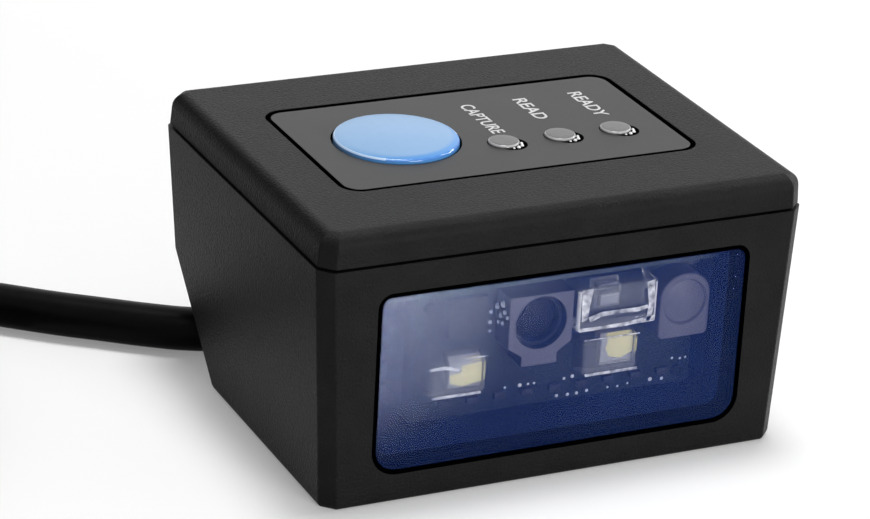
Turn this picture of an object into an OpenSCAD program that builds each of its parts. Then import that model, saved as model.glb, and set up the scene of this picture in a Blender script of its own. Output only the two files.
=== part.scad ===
// Fixed barcode reader: a two-piece moulded housing with a tinted front window, a scan engine behind it,
// a top panel with a push button and three light guides, and a cable out of the slanted rear foot.
// Millimetres. +X is the reader's right seen from the front, the window faces -Y, +Z is up.
// The origin is on the standing surface, in the middle of the housing at its seam.

/* [Housing] */
// Width over the seam between base and cover
body_w = 50.6; // [48.6:0.2:60]
// Depth over the seam
body_d = 40.4; // [38.6:0.2:48]
// Height of the base, from the foot to the seam
base_h = 24.4; // [23.6:0.1:30]
// Thickness of the base's side and rear walls
wall = 1.8; // [1.5:0.1:2.2]
// Thickness of the base's floor
floor_t = 2; // [1.6:0.1:2.6]
// How far each side wall leans in from the seam to the foot
side_draft = 1.15; // [0:0.05:2]
// How far the rear wall leans in from the seam to the foot
rear_draft = 2.3; // [0.5:0.1:3]
// Leg of the chamfer on the upright corners
corner_leg = 1.3; // [1:0.1:1.6]
// Rounding of the chamfer's two edges
corner_ease = 0.4; // [0.2:0.1:0.6]
// Rounding of the edge round the foot
foot_edge = 0.5; // [0.2:0.1:1]
// Height on the rear wall where the slanted rear foot starts
slant_h = 13.4; // [12:0.1:15]
// How far the slant runs forward under the housing
slant_run = 12.5; // [11:0.1:13.5]
// Rounding where the slant meets the foot
slant_r = 1.5; // [0.5:0.1:2.5]

/* [Cover] */
// Height of the cover, from the seam to the top
cover_h = 3.5; // [3.4:0.1:5]
// Open seam between base and cover
seam_gap = 0.2; // [0.15:0.05:0.5]
// How far the cover stands inside the base at the sides and rear
seam_step = 0.15; // [0:0.05:0.4]
// How far the cover stands inside the base at the front
front_step = 0.1; // [0:0.05:0.3]
// How far the cover's side and rear walls lean in up to the top
cover_draft = 0.2; // [0:0.05:0.6]
// Rounding of the top edge
cover_edge_r = 1.4; // [0.8:0.1:1.5]
// Thickness of the cover's walls
cover_wall = 1.6; // [1.3:0.1:2]
// Thickness of the cover under the sunk panel
cover_plate = 1.3; // [1.2:0.05:2]
// Height of the base's tongue inside the cover
lip_h = 1.2; // [0.8:0.1:1.5]
// Thickness of that tongue
lip_t = 0.7; // [0.5:0.05:0.9]
// Thickness of rim left bare outside the seal
seal_inset = 0.45; // [0.3:0.05:0.6]

/* [Top panel] */
// Width of the sunk panel
panel_w = 37.8; // [34:0.2:42]
// Depth of the sunk panel
panel_d = 21.7; // [18:0.1:26]
// Place of the panel's middle, behind the middle of the housing
panel_y = 0.1; // [0:0.1:0.8]
// Corner radius of the sunk panel
panel_r = 2.2; // [1:0.1:4]
// How far the panel's floor lies below the top
panel_sink = 0.65; // [0.5:0.05:0.8]
// Thickness of the printed overlay
overlay_t = 0.6; // [0.3:0.05:0.7]
// Gap round the overlay
overlay_gap = 0.5; // [0.3:0.05:0.6]

/* [Button and light guides] */
// Diameter of the push button
button_d = 12.3; // [10:0.1:12.6]
// Place of the button across the panel
button_x = -8.9; // [-10:0.1:-8.2]
// Place of the button along the panel
button_y = 0.3; // [-1:0.1:2]
// Height of the button's edge above the overlay
button_rise = 0.4; // [0.2:0.05:0.8]
// Height of the button's dome above its edge
button_dome = 0.35; // [0.1:0.05:0.8]
// Gap round the button
button_gap = 0.2; // [0.1:0.05:0.3]
// Width of the flange that keeps the button in
button_flange = 1; // [0.6:0.1:1.3]
// Thickness of that flange
button_flange_t = 0.9; // [0.6:0.1:1.2]
// Travel of the button
button_travel = 0.5; // [0.3:0.05:0.6]
// Diameter of a light guide where it shows
light_d = 3.1; // [2.6:0.1:3.4]
// Place of the first light guide across the panel
light_x = 0.8; // [0.4:0.1:2]
// Distance from one light guide to the next
light_pitch = 6.1; // [5.2:0.1:6.6]
// Place of the light guides along the panel
light_y = -3.5; // [-5:0.1:-3]
// Height of a light guide above the overlay
light_rise = 0.3; // [0.3:0.05:1]
// Width of the flange on a light guide
light_flange = 0.55; // [0.4:0.05:0.8]

/* [Window] */
// Width of the window recess
window_w = 39; // [36:0.2:41]
// Height of the window recess
window_h = 18.7; // [17.5:0.1:19.2]
// Height of the recess above the foot
window_sill = 2.9; // [2.6:0.1:3.4]
// Radius of the two upper corners
window_high_r = 1.5; // [0.6:0.1:2]
// Radius of the two lower corners
window_low_r = 2.7; // [1.5:0.1:4]
// Thickness of the window plate
window_t = 1.5; // [1.2:0.1:1.8]
// How far the plate lies behind the front face
window_sink = 0.1; // [0.1:0.1:0.6]
// Gap round the plate
window_gap = 0.45; // [0.15:0.05:0.5]
// Width of the ledge behind the plate
window_ledge = 1.3; // [1.2:0.1:2.2]
// Thickness of that ledge
ledge_t = 1; // [0.8:0.1:1.2]
// Thickness of the gasket on the ledge
gasket_t = 0.3; // [0.2:0.05:0.4]

/* [Fasteners] */
// Diameter of a cover screw's thread
screw_d = 2; // [1.8:0.1:2.2]
// Length of a cover screw under its head
screw_len = 8; // [6:0.5:8.5]
// Diameter of a cover screw's head
screw_head_d = 3; // [2.8:0.1:3.2]
// Height of a cover screw's head
screw_head_h = 1.2; // [0.9:0.1:1.6]
// Radius of the cover's screw bosses
boss_r = 2; // [1.8:0.1:2.2]
// Radius of the base's screw tubes
tube_r = 2.2; // [2.1:0.1:2.4]
// Distance from the seam down to the top of the tubes
tube_drop = 5.7; // [5:0.1:6.5]
// Thickness of the shelf that a screw head bears on
shelf_t = 2; // [1.5:0.1:2.5]
// Distance between the two threaded inserts in the foot
insert_spacing = 26; // [25:0.5:30]
// Place of the inserts front to rear
insert_y = -1; // [-1.2:0.1:-0.4]
// Outside diameter of an insert
insert_d = 4.2; // [4:0.1:4.6]
// Minor diameter of the insert's thread
insert_bore = 2.5; // [2.4:0.1:3]
// Length of an insert
insert_len = 4.6; // [4:0.1:5]
// Wall of the boss round an insert
insert_wall = 1.2; // [0.9:0.1:1.3]
// Diameter of a board screw's thread
small_d = 1.6; // [1.4:0.1:1.8]
// Length of a board screw under its head
small_len = 4.5; // [3.5:0.1:5]
// Diameter of a board screw's head
small_head_d = 2.8; // [2.4:0.1:3]
// Height of a board screw's head
small_head_h = 0.9; // [0.7:0.1:1.1]

/* [Main board] */
// Thickness of the main board
board_t = 1.2; // [0.8:0.1:1.6]
// Length of the cover posts that carry the board
post_h = 6; // [5.8:0.1:6.4]
// Radius of those posts
post_r = 1.8; // [1.5:0.1:2]
// Width of the key switch
switch_w = 6; // [5:0.1:6.5]
// Height of the key switch's body
switch_h = 3.3; // [2.8:0.1:3.6]
// Diameter of its plunger
plunger_d = 3.4; // [3:0.1:3.8]
// Height of the plunger above the switch
plunger_rise = 0.9; // [0.7:0.05:1]
// Length of an indicator LED
led_l = 2; // [1.6:0.1:2.2]
// Width of an indicator LED
led_w = 1.25; // [0.8:0.05:1.4]
// Height of an indicator LED
led_h = 0.8; // [0.5:0.05:1]
// Diameter of the buzzer
buzzer_d = 9; // [8:0.1:9.4]
// Height of the buzzer
buzzer_h = 4; // [3:0.1:4.4]
// Side of the processor
chip_w = 10; // [8:0.1:11]
// Height of the processor
chip_h = 1.2; // [0.8:0.1:1.3]

/* [Scan engine] */
// Distance from the front face back to the engine board
engine_depth = 6.8; // [6.6:0.1:7.2]
// Thickness of the engine board
engine_t = 1; // [0.8:0.1:1.2]
// Gap between the floor and the engine board
engine_lift = 2.4; // [1.8:0.1:2.6]
// Gap between the engine and the main board
engine_headroom = 1.3; // [1.2:0.1:1.6]
// Place of the camera's axis across the front
lens_x = -0.6; // [-1:0.1:0]
// Distance from the camera's axis to the engine's right end
engine_reach = 18.3; // [18:0.1:18.6]
// Distance from the engine's top down to the camera's axis
lens_drop = 2.95; // [2.9:0.05:3.2]
// Width of the camera holder
holder_w = 6.8; // [6.4:0.1:7.2]
// Depth of the camera holder
holder_depth = 3; // [2.8:0.1:3.2]
// Height of the holder below the camera's axis, to its chamfers
holder_low = 2.35; // [2.3:0.05:2.6]
// Height of the holder's foot
holder_foot_h = 2.1; // [1.5:0.1:2.4]
// Width of the holder's foot
holder_foot_w = 3.8; // [3:0.1:4.2]
// Diameter of the camera's front opening
lens_d = 5.4; // [4.6:0.1:5.4]
// Wall of the lens barrel
barrel_wall = 0.35; // [0.25:0.05:0.5]
// Width of an illumination lens
lamp_w = 6.2; // [5.4:0.1:6.6]
// Height of an illumination lens
lamp_h = 4; // [3.6:0.1:4.2]
// Depth of an illumination lens
lamp_depth = 2.4; // [2:0.1:2.8]
// Distance from the camera's axis down to the illumination lenses
lamp_drop = 4.85; // [4.8:0.05:5.2]
// Width of an illumination LED
lamp_led_w = 3; // [2.4:0.1:3.4]
// Height of an illumination LED
lamp_led_h = 2.6; // [2:0.1:2.8]
// Thickness of an illumination LED
lamp_led_t = 0.8; // [0.5:0.1:1]
// Distance of an illumination LED from the middle of its lens
lamp_led_shift = 1.1; // [0:0.1:1.1]
// Height of the aiming lens
aim_h = 4.6; // [4:0.1:4.8]
// Depth of the aiming lens
aim_depth = 3.1; // [2.6:0.1:3.2]
// Width of the presence sensor's housing
presence_w = 5.4; // [5:0.1:5.8]
// Height of the presence sensor's housing
presence_h = 6.7; // [6.2:0.1:7]
// Depth of the presence sensor's housing
presence_depth = 3; // [2.6:0.1:3.2]
// Diameter of its lens
presence_d = 4.6; // [4:0.1:4.8]
// Thickness of the engine's chassis
chassis_t = 1.5; // [1.2:0.1:1.8]

/* [Cable] */
// Diameter of the cable
cable_d = 4.5; // [4.2:0.1:4.6]
// Wall of the rubber grommet round the cable
grommet_wall = 0.65; // [0.5:0.05:0.7]
// Width of the grommet's inner flange
grommet_flange = 0.8; // [0.5:0.05:0.85]
// Centre radius of the coil's innermost turn
coil_in = 16.8; // [14:0.1:18]
// Turns in each of the coil's two layers
coil_turns = 4; // [3:1:4]
// Width of the tie round the coil
tie_w = 6; // [4:0.5:8]
// Thickness of the tie
tie_t = 0.4; // [0.3:0.05:0.6]

/* [Plug] */
// Width of the plug's grip
grip_w = 16; // [14:0.2:18]
// Height of the plug's grip
grip_h = 8; // [7:0.2:9]
// Length of the plug's grip
grip_len = 26.5; // [22:0.5:30]
// Length of the ribbed strain relief behind it
relief_len = 9; // [7:0.5:11]
// Width of the plug's metal shell
shell_w = 12; // [11.6:0.1:12.4]
// Height of the plug's metal shell
shell_h = 4.5; // [4.3:0.1:4.7]
// Length of the shell that shows
shell_len = 12.5; // [11:0.5:14]
// Sheet thickness of the shell
shell_t = 0.3; // [0.2:0.05:0.4]

/* [Hidden] */
$fn = 48;

// Clearances
fit = 0.2;              // between pieces that are put together by hand
snug = 0.05;            // between a piece and the hole that it is pressed or screwed into
through = 1;            // how far a cutter runs past the face that it cuts

// Housing levels and outlines
half_w = body_w / 2;
half_d = body_d / 2;
front_y = -half_d;
front_wall = window_sink + window_t + gasket_t + ledge_t;
inner_front = front_y + front_wall;
foot_rear = half_d - slant_run;
cover_z = base_h + seam_gap;
top_z = base_h + cover_h;
panel_z = top_z - panel_sink;
overlay_top = panel_z + overlay_t;
under_z = panel_z - cover_plate;
far = body_w + body_d + base_h;
corner_steps = 8;
ease_steps = 3;
cavity_r = 0.3;
tongue_r = 0.9;

function side_at(z) = half_w - side_draft * (1 - z / base_h);
function rear_at(z) = half_d - rear_draft * (1 - z / base_h);
slant_angle = atan2(slant_h, rear_at(slant_h) - foot_rear);

// Cover screws stand in the corners, clear of the walls
tube_h = base_h - tube_drop;
shelf_z = tube_h - shelf_t;
screw_x = side_at(tube_h) - wall - fit - boss_r;
tube_margin = 1;
screw_front = inner_front + fit + boss_r;
screw_rear = foot_rear - tube_r - tube_margin;
screw_places = [for (x = [-screw_x, screw_x]) for (y = [screw_front, screw_rear]) [x, y]];
screw_bite = screw_len - shelf_t;

// The main board hangs from the cover's posts, between the screw bosses
board_top = under_z - post_h;
board_under = board_top - board_t;
board_room = 0.6;
board_end_room = 1;
board_half = screw_x - boss_r - board_room;
board_front = inner_front + board_end_room;
board_rear = rear_at(board_under) - wall - board_end_room;
post_inset = post_r + 0.6;
post_places = [
    for (x = [-1, 1]) for (y = [board_front + post_inset, board_rear - post_inset])
        [x * (board_half - post_inset), y]
];

// Button, switch and light guides
button_r = button_d / 2;
button_top = overlay_top + button_rise;
flange_top = under_z - fit / 2;
flange_under = flange_top - button_flange_t;
switch_top = board_top + switch_h;
plunger_top = switch_top + plunger_rise;
plunger_foot = plunger_top - plunger_rise - button_travel - fit;
light_places = [for (k = [0:2]) [light_x + k * light_pitch, light_y]];
light_foot = board_top + led_h + fit;
light_flange_t = 1.2;

// Scan engine, laid out from the camera's axis and from its right end
engine_y = front_y + engine_depth;
engine_back = engine_y + engine_t;
engine_bottom = floor_t + engine_lift;
engine_top = board_under - engine_headroom;
lens_z = engine_top - lens_drop;
engine_gap = 0.9;
engine_right = min(lens_x + engine_reach, screw_x - tube_r - fit);
presence_left = engine_right - presence_w;
presence_x = engine_right - presence_w / 2;
lamp_x = (holder_w / 2 + presence_left - lens_x) / 2;
lamp_z = lens_z - lamp_drop;
engine_left = lens_x - lamp_x - lamp_w / 2 - engine_gap / 2;
engine_w = engine_right - engine_left;
aim_left = lens_x + holder_w / 2 + engine_gap / 2;
aim_right = presence_left - engine_gap / 2;
aim_x = (aim_left + aim_right) / 2;
aim_w = aim_right - aim_left;
aim_z = engine_top - aim_h / 2;
chassis_back = engine_back + chassis_t;
chassis_foot = 4.6;
chassis_screw_y = chassis_back + chassis_foot / 2;
chassis_seat = floor_t + 2;
chassis_screw_places = [[engine_left + 3, chassis_screw_y], [engine_right - 3, chassis_screw_y]];
stake_r = 0.6;
stake_inset = 1.3;
stake_rise = 0.4;
stake_places = [
    [engine_left + stake_inset, engine_top - stake_inset],
    [engine_right - stake_inset, engine_bottom + stake_inset]
];

// Flexible flat cable from the engine up to the main board
flex_w = 8;
flex_t = 0.3;
flex_bend = 1.4;
socket_w = flex_w + 2;
socket_t = 1.4;
engine_socket_top = lens_z;
engine_socket_h = 2.6;
flex_clear = 2.6;
flex_y = engine_back + socket_t / 2;
main_socket_y = chassis_back + chassis_foot + fit;
main_socket_l = 3.4;
flex_z = board_under - socket_t / 2;

// Cable outlet in the slanted foot
cable_r = cable_d / 2;
cable_x = 9.1;
cable_z = 6;
grommet_r = cable_r + snug + grommet_wall;
grommet_hole = grommet_r + snug;
grommet_flange_r = grommet_r + grommet_flange;
grommet_flange_t = 1.2;
grommet_end = 16.2;
outlet_boss_r = grommet_flange_r + 0.8;
seat_y = foot_rear - wall * sin(slant_angle)
    + (cable_z - grommet_flange_r - wall * cos(slant_angle)) / tan(slant_angle);
cable_start = seat_y - grommet_flange_t - 0.6;

// Wires from the cable up to the board
wire_d = 0.8;
wire_count = 4;
wire_close = 0.9;
wire_pitch = 1.5;
wire_bend = 3;
wire_steps = 6;
header_y = cable_start - wire_bend - 0.4;
header_w = wire_count * wire_pitch + 3;
header_d = 4.4;
header_h = 3.6;
header_wall = 0.6;
header_deep = 2.6;
harness_h = 4.2;
harness_top = board_under - header_h + header_deep;
harness_foot = harness_top - harness_h;
flex_x = cable_x - header_w / 2 - flex_clear - socket_w / 2;

// Route of the cable along the standing surface, from the outlet to the coil
lay = cable_r;
cable_route = [
    [cable_x, cable_start, cable_z], [cable_x, 12, cable_z], [cable_x, 16.2, cable_z],
    [8.6, 19.2, 5.7], [7.3, 21.9, 5.1], [5.2, 24, 4.3], [2.6, 25.4, 3.5], [-0.4, 26, 2.8],
    [-3.4, 25.6, 2.4], [-6.3, 24.3, lay], [-8.7, 22.3, lay], [-11.2, 19.9, lay], [-13.8, 17.9, lay],
    [-16.8, 16.8, lay], [-19.9, 16.7, lay], [-22.8, 17.6, lay], [-26.5, 19.8, lay], [-30.7, 22.8, lay],
    [-34.2, 25.3, lay], [-39.2, 29.3, lay], [-46.3, 35, lay], [-54.1, 41.2, lay + tie_t / 2],
    [-62.3, 47.2, lay + tie_t]
];

// Coil of the rest of the cable, flat on the surface in two layers
coil_centre = [-84, 19.5];
coil_pitch = cable_d + 0.1;
coil_out = coil_in + coil_turns * coil_pitch;
coil_top = tie_t + 2 * cable_d;
tie_angle = 290;
tie_slack = 0.3;

// The plug lies on the coil, and the cable's tail runs up to it
plug_x = -104;
plug_y = 36;
plug_z = coil_top + grip_h / 2;
tail_route = [
    [-68.5, 51.2, 7.6], [-75.5, 53.6, 8.9], [-83, 54.2, 10.6], [-90.5, 52.6, 12.2], [-97, 48.8, 13.2],
    [-101.6, 43.4, plug_z], [-103.6, 39, plug_z], [plug_x, plug_y, plug_z], [plug_x, plug_y - 4, plug_z]
];
relief_r = cable_r + 1.2;
shell_sunk = 4;
tongue_h = 1.9;
tongue_short = 0.6;
contact_count = 4;
contact_pitch = 2.3;
contact_w = 1;
contact_t = 0.2;
contact_len = 8;

housing_colour = [0.17, 0.17, 0.175];
rubber_colour = [0.07, 0.07, 0.07];
steel_colour = [0.72, 0.72, 0.73];
board_colour = [0.12, 0.28, 0.22];
black_plastic = [0.1, 0.1, 0.11];
clear_colour = [0.85, 0.88, 0.95, 0.5];

// General shapes

// A closed loop of points: a rectangle with rounded corners, lying at height z
function round_loop(half, front, rear, r, z) = [
    for (corner = [0:3]) for (step = [0:corner_steps])
        let (
            a = 90 * (corner + step / corner_steps),
            cx = (half - r) * (corner == 0 || corner == 3 ? 1 : -1),
            cy = corner < 2 ? rear - r : r - front
        )
        [cx + r * cos(a), cy + r * sin(a), z]
];

// The same with chamfered corners; each chamfer has the given leg, and its two edges are eased
function chamfer_loop(half, front, rear, leg, ease, z) = [
    for (corner = [0:3]) for (end = [0, 1]) for (step = [0:ease_steps])
        let (
            turn = 90 * corner,
            a = 45 * (end + step / ease_steps),
            back = leg + ease * tan(22.5),
            reach = [half, rear, half, front][corner],
            side = [rear, half, front, half][corner],
            p = reach - (end == 0 ? ease : back) + ease * cos(a),
            q = side - (end == 0 ? back : ease) + ease * sin(a)
        )
        [p * cos(turn) - q * sin(turn), p * sin(turn) + q * cos(turn), z]
];

// A loop with the housing's own corners, set in from the outside by inset
function housing_loop(half, front, rear, inset, z) =
    chamfer_loop(half - inset, front - inset, rear - inset, corner_leg - inset * (2 - sqrt(2)),
        max(corner_ease - inset, 0.1), z);

// A solid skinned over loops that run upwards, each with the same number of points
module loft(loops) {
    n = len(loops[0]);
    last = (len(loops) - 1) * n;
    polyhedron(
        points = [for (loop = loops) each loop],
        faces = concat(
            [[for (i = [0:n - 1]) i]],
            [[for (i = [n - 1:-1:0]) last + i]],
            [for (k = [0:len(loops) - 2]) for (i = [0:n - 1])
                let (a = k * n + i, b = k * n + (i + 1) % n) [a, a + n, b + n, b]]
        )
    );
}

function unit(v) = v / norm(v);

// A ring of points round a route, square to it; ref is any direction that the route never follows
function tube_ring(route, i, r, sides, ref) =
    let (
        along = unit(route[min(i + 1, len(route) - 1)] - route[max(i - 1, 0)]),
        across = unit(cross(along, ref)),
        up = cross(across, along)
    )
    [for (k = [0:sides - 1]) route[i] + r * (cos(360 * k / sides) * across - sin(360 * k / sides) * up)];

module tube(route, r, sides, ref) {
    loft([for (i = [0:len(route) - 1]) tube_ring(route, i, r, sides, ref)]);
}

// A flat outline, w wide and centred on x, from y = 0 to h, with its own radius at the low and high corners
module rounded_panel(w, h, low_r, high_r) {
    polygon([
        [low_r - w / 2, 0], [w / 2 - low_r, 0], [w / 2, low_r], [w / 2, h - high_r],
        [w / 2 - high_r, h], [high_r - w / 2, h], [-w / 2, h - high_r], [-w / 2, low_r]
    ]);
    for (side = [-1, 1]) {
        translate([side * (w / 2 - low_r), low_r])
            circle(low_r);
        translate([side * (w / 2 - high_r), h - high_r])
            circle(high_r);
    }
}

// Stands a flat outline up, facing the front, from y_back forwards by depth
module facing_front(y_back, depth) {
    translate([0, y_back, 0])
        rotate([90, 0, 0])
            linear_extrude(depth)
                children();
}

// Runs an outline drawn in (y, z) across the width from x = from, by w
module across(from, w) {
    translate([from, 0, 0])
        rotate([90, 0, 90])
            linear_extrude(w)
                children();
}

// A round bar along +Y from y_from to y_to
module bar_y(x, z, y_from, y_to, r) {
    translate([x, y_from, z])
        rotate([-90, 0, 0])
            cylinder(h = y_to - y_from, r = r);
}

// A screw that points up: its head hangs below z = 0, its shank rises above
module screw_up(d, length, head_d, head_h) {
    cylinder(h = length, r = d / 2);
    translate([0, 0, -head_h])
        difference() {
            cylinder(h = head_h, r = head_d / 2);
            for (turn = [0, 90])
                rotate([0, 0, turn])
                    translate([-head_d / 3, -head_d / 12, -through])
                        cube([head_d * 2 / 3, head_d / 6, through + head_h / 2]);
        }
}

// Housing

function body_loop(z, inset) =
    housing_loop(side_at(z), half_d, rear_at(z), inset, z);

function cover_loop(z, inset) =
    let (lean = seam_step + cover_draft * (z - cover_z) / (top_z - cover_z))
    housing_loop(half_w - lean, half_d - front_step, half_d - lean, inset, z);

// Side view of the base, with the slanted rear foot; inset gives the cavity's outline
module side_view(inset, low) {
    lean_y = foot_rear - inset * sin(slant_angle) + (low - inset * cos(slant_angle)) / tan(slant_angle);
    edge_r = inset > 0 ? 0.1 : slant_r;
    edge_y = lean_y - edge_r * tan(slant_angle / 2);
    polygon(concat(
        [[-far, low]],
        [for (k = [0:4]) let (a = slant_angle * k / 4)
            [edge_y + edge_r * sin(a), low + edge_r * (1 - cos(a))]],
        [[lean_y + far * cos(slant_angle), low + far * sin(slant_angle)], [-far, low + far * sin(slant_angle)]]
    ));
}

module base_skin() {
    intersection() {
        loft(concat(
            [for (a = [0:30:90]) body_loop(foot_edge * (1 - cos(a)), foot_edge * (1 - sin(a)))],
            [body_loop(base_h, 0)]
        ));
        across(-far, 2 * far)
            side_view(0, 0);
    }
}

module base_cavity() {
    intersection() {
        loft([
            for (z = [floor_t, base_h + lip_h + through])
                round_loop(side_at(z) - wall, -inner_front, rear_at(z) - wall, cavity_r, z)
        ]);
        across(-far, 2 * far)
            side_view(wall, floor_t);
    }
}

// Tongue round the rim, which the cover fits over
module tongue() {
    loft([for (z = [base_h - through, base_h + lip_h]) round_loop(
        half_w - wall + lip_t, half_d - wall + lip_t, half_d - wall + lip_t, tongue_r, z)]);
}

module window_outline(inset) {
    translate([0, window_sill + inset])
        rounded_panel(window_w - 2 * inset, window_h - 2 * inset,
            max(window_low_r - inset, 0.2), max(window_high_r - inset, 0.2));
}

module lower_housing() {
    color(housing_colour)
    difference() {
        union() {
            difference() {
                union() {
                    base_skin();
                    tongue();
                }
                base_cavity();
            }
            // Inner bosses: screw tubes, insert bosses, engine seats and the cable outlet's seat
            for (p = screw_places)
                translate([p[0], p[1], floor_t / 2])
                    cylinder(h = tube_h - floor_t / 2, r = tube_r);
            for (side = [-1, 1])
                translate([side * insert_spacing / 2, insert_y, floor_t / 2])
                    cylinder(h = insert_len + 1.4 - floor_t / 2, r = insert_d / 2 + insert_wall);
            for (p = chassis_screw_places)
                translate([p[0], p[1], floor_t / 2])
                    cylinder(h = chassis_seat - floor_t / 2, r = small_head_d / 2 + 0.6);
            intersection() {
                bar_y(cable_x, cable_z, seat_y, far, outlet_boss_r);
                base_skin();
            }
        }
        // Window recess and the opening behind it
        facing_front(front_y + front_wall - ledge_t, front_wall)
            window_outline(0);
        facing_front(inner_front + through, front_wall + through)
            window_outline(window_ledge);
        // Screw tubes, from below
        for (p = screw_places)
            translate([p[0], p[1], -through]) {
                cylinder(h = shelf_z + through, r = screw_head_d / 2 + fit / 2);
                cylinder(h = tube_h + 2 * through, r = screw_d / 2 + fit / 2);
            }
        for (side = [-1, 1])
            translate([side * insert_spacing / 2, insert_y, -through])
                cylinder(h = insert_len + through + fit, r = insert_d / 2 + snug);
        for (p = chassis_screw_places)
            translate([p[0], p[1], floor_t / 2])
                cylinder(h = chassis_seat, r = small_d / 2 + snug);
        bar_y(cable_x, cable_z, seat_y - through, far, grommet_hole);
    }
}

module top_cover() {
    rabbet_half = half_w - wall + lip_t + fit / 2;
    rabbet_depth = half_d - wall + lip_t + fit / 2;
    color(housing_colour)
    difference() {
        union() {
            difference() {
                loft(concat(
                    [cover_loop(cover_z, 0)],
                    [for (a = [0:15:90])
                        cover_loop(top_z - cover_edge_r * (1 - sin(a)), cover_edge_r * (1 - cos(a)))]
                ));
                // Rabbet over the base's tongue, then the hollow above it
                loft([for (z = [cover_z - through, base_h + lip_h + fit]) round_loop(
                    rabbet_half, rabbet_depth, rabbet_depth, tongue_r + fit / 2, z)]);
                loft([for (z = [base_h, under_z]) round_loop(
                    half_w - seam_step - cover_wall, half_d - front_step - cover_wall,
                    half_d - seam_step - cover_wall, 0.5, z)]);
            }
            for (p = screw_places)
                translate([p[0], p[1], tube_h])
                    cylinder(h = under_z + cover_plate / 2 - tube_h, r = boss_r);
            for (p = post_places)
                translate([p[0], p[1], board_top])
                    cylinder(h = post_h + cover_plate / 2, r = post_r);
        }
        translate([0, panel_y - panel_d / 2, panel_z])
            linear_extrude(panel_sink + through)
                rounded_panel(panel_w, panel_d, panel_r, panel_r);
        translate([button_x, button_y, under_z - through])
            cylinder(h = cover_plate + 2 * through, r = button_r + button_gap);
        for (p = light_places)
            translate([p[0], p[1], under_z - through])
                cylinder(h = cover_plate + 2 * through, r = light_d / 2 + snug);
        for (p = screw_places)
            translate([p[0], p[1], tube_h - through])
                cylinder(h = screw_bite + fit + through, r = screw_d / 2 + snug);
        for (p = post_places)
            translate([p[0], p[1], board_top - through])
                cylinder(h = small_len - board_t + fit + through, r = small_d / 2 + snug);
    }
}

module cover_seal() {
    inside = wall - lip_t - snug;
    color(rubber_colour)
    difference() {
        loft([for (z = [base_h, cover_z])
            housing_loop(half_w, half_d, half_d, seal_inset + seam_step, z)]);
        loft([for (z = [base_h - through, cover_z + through]) round_loop(
            half_w - inside, half_d - inside, half_d - inside, tongue_r + snug, z)]);
    }
}

module cover_screws() {
    color(steel_colour)
    for (p = screw_places)
        translate([p[0], p[1], shelf_z])
            screw_up(screw_d, screw_len, screw_head_d, screw_head_h);
}

module mounting_inserts() {
    groove = 0.3;
    color([0.78, 0.62, 0.3])
    for (side = [-1, 1])
        translate([side * insert_spacing / 2, insert_y, 0])
            difference() {
                cylinder(h = insert_len, r = insert_d / 2);
                translate([0, 0, insert_len / 2 - groove])
                    difference() {
                        cylinder(h = 2 * groove, r = insert_d / 2 + through);
                        cylinder(h = 2 * groove, r = insert_d / 2 - groove);
                    }
                translate([0, 0, -through])
                    cylinder(h = insert_len + 2 * through, r = insert_bore / 2);
            }
}

// Window

module front_window() {
    color([0.14, 0.2, 0.5, 0.6])
    facing_front(front_y + window_sink + window_t, window_t)
        window_outline(window_gap);
}

module window_gasket() {
    color(rubber_colour)
    facing_front(front_y + window_sink + window_t + gasket_t, gasket_t)
        difference() {
            window_outline(window_gap);
            window_outline(window_ledge);
        }
}

// Top panel

module panel_overlay() {
    color([0.37, 0.37, 0.37])
    translate([0, 0, panel_z])
        linear_extrude(overlay_t)
            difference() {
                translate([0, panel_y + overlay_gap - panel_d / 2])
                    rounded_panel(panel_w - 2 * overlay_gap, panel_d - 2 * overlay_gap,
                        panel_r - overlay_gap, panel_r - overlay_gap);
                translate([button_x, button_y])
                    circle(button_r + button_gap);
                for (p = light_places)
                    translate(p)
                        circle(light_d / 2 + snug);
            }
}

// Domed cap, flange below the cover and a short stem down to the switch
module trigger_button() {
    dome_r = (button_r * button_r + button_dome * button_dome) / (2 * button_dome);
    color([0.55, 0.75, 0.92])
    translate([button_x, button_y, 0]) {
        intersection() {
            translate([0, 0, flange_top])
                cylinder(h = button_top + button_dome - flange_top, r = button_r);
            translate([0, 0, button_top + button_dome - dome_r])
                sphere(dome_r, $fn = 96);
        }
        translate([0, 0, flange_under])
            cylinder(h = button_flange_t, r = button_r + button_flange);
        translate([0, 0, plunger_top])
            cylinder(h = flange_under - plunger_top, r = plunger_d / 2 + 0.4);
    }
}

module switch_plunger() {
    color(black_plastic)
    translate([button_x, button_y, plunger_foot])
        cylinder(h = plunger_top - plunger_foot, r = plunger_d / 2);
}

module tact_switch() {
    color(steel_colour)
    translate([button_x, button_y, 0])
        difference() {
            translate([-switch_w / 2, -switch_w / 2, board_top])
                cube([switch_w, switch_w, switch_h]);
            translate([0, 0, plunger_foot - button_travel - fit])
                cylinder(h = switch_h, r = plunger_d / 2 + fit / 2);
        }
}

// Round head with an eased rim, a flange under the cover and a rod down to its LED
module light_pipe(place) {
    rim = 0.35;
    head_r = light_d / 2;
    head_top = overlay_top + light_rise;
    color([0.6, 0.6, 0.62, 0.8])
    translate([place[0], place[1], 0])
        rotate_extrude() {
            translate([0, under_z])
                square([head_r, head_top - rim - under_z]);
            square_top = head_r - rim;
            translate([0, head_top - rim])
                square([square_top, rim]);
            translate([square_top, head_top - rim])
                intersection() {
                    circle(rim);
                    square(rim);
                }
            translate([0, under_z - light_flange_t])
                square([head_r + light_flange, light_flange_t]);
            translate([0, light_foot])
                square([head_r - 0.1, under_z - light_flange_t - light_foot]);
        }
}

module scan_light_pipe() {
    light_pipe(light_places[0]);
}

module read_light_pipe() {
    light_pipe(light_places[1]);
}

module power_light_pipe() {
    light_pipe(light_places[2]);
}

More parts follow.
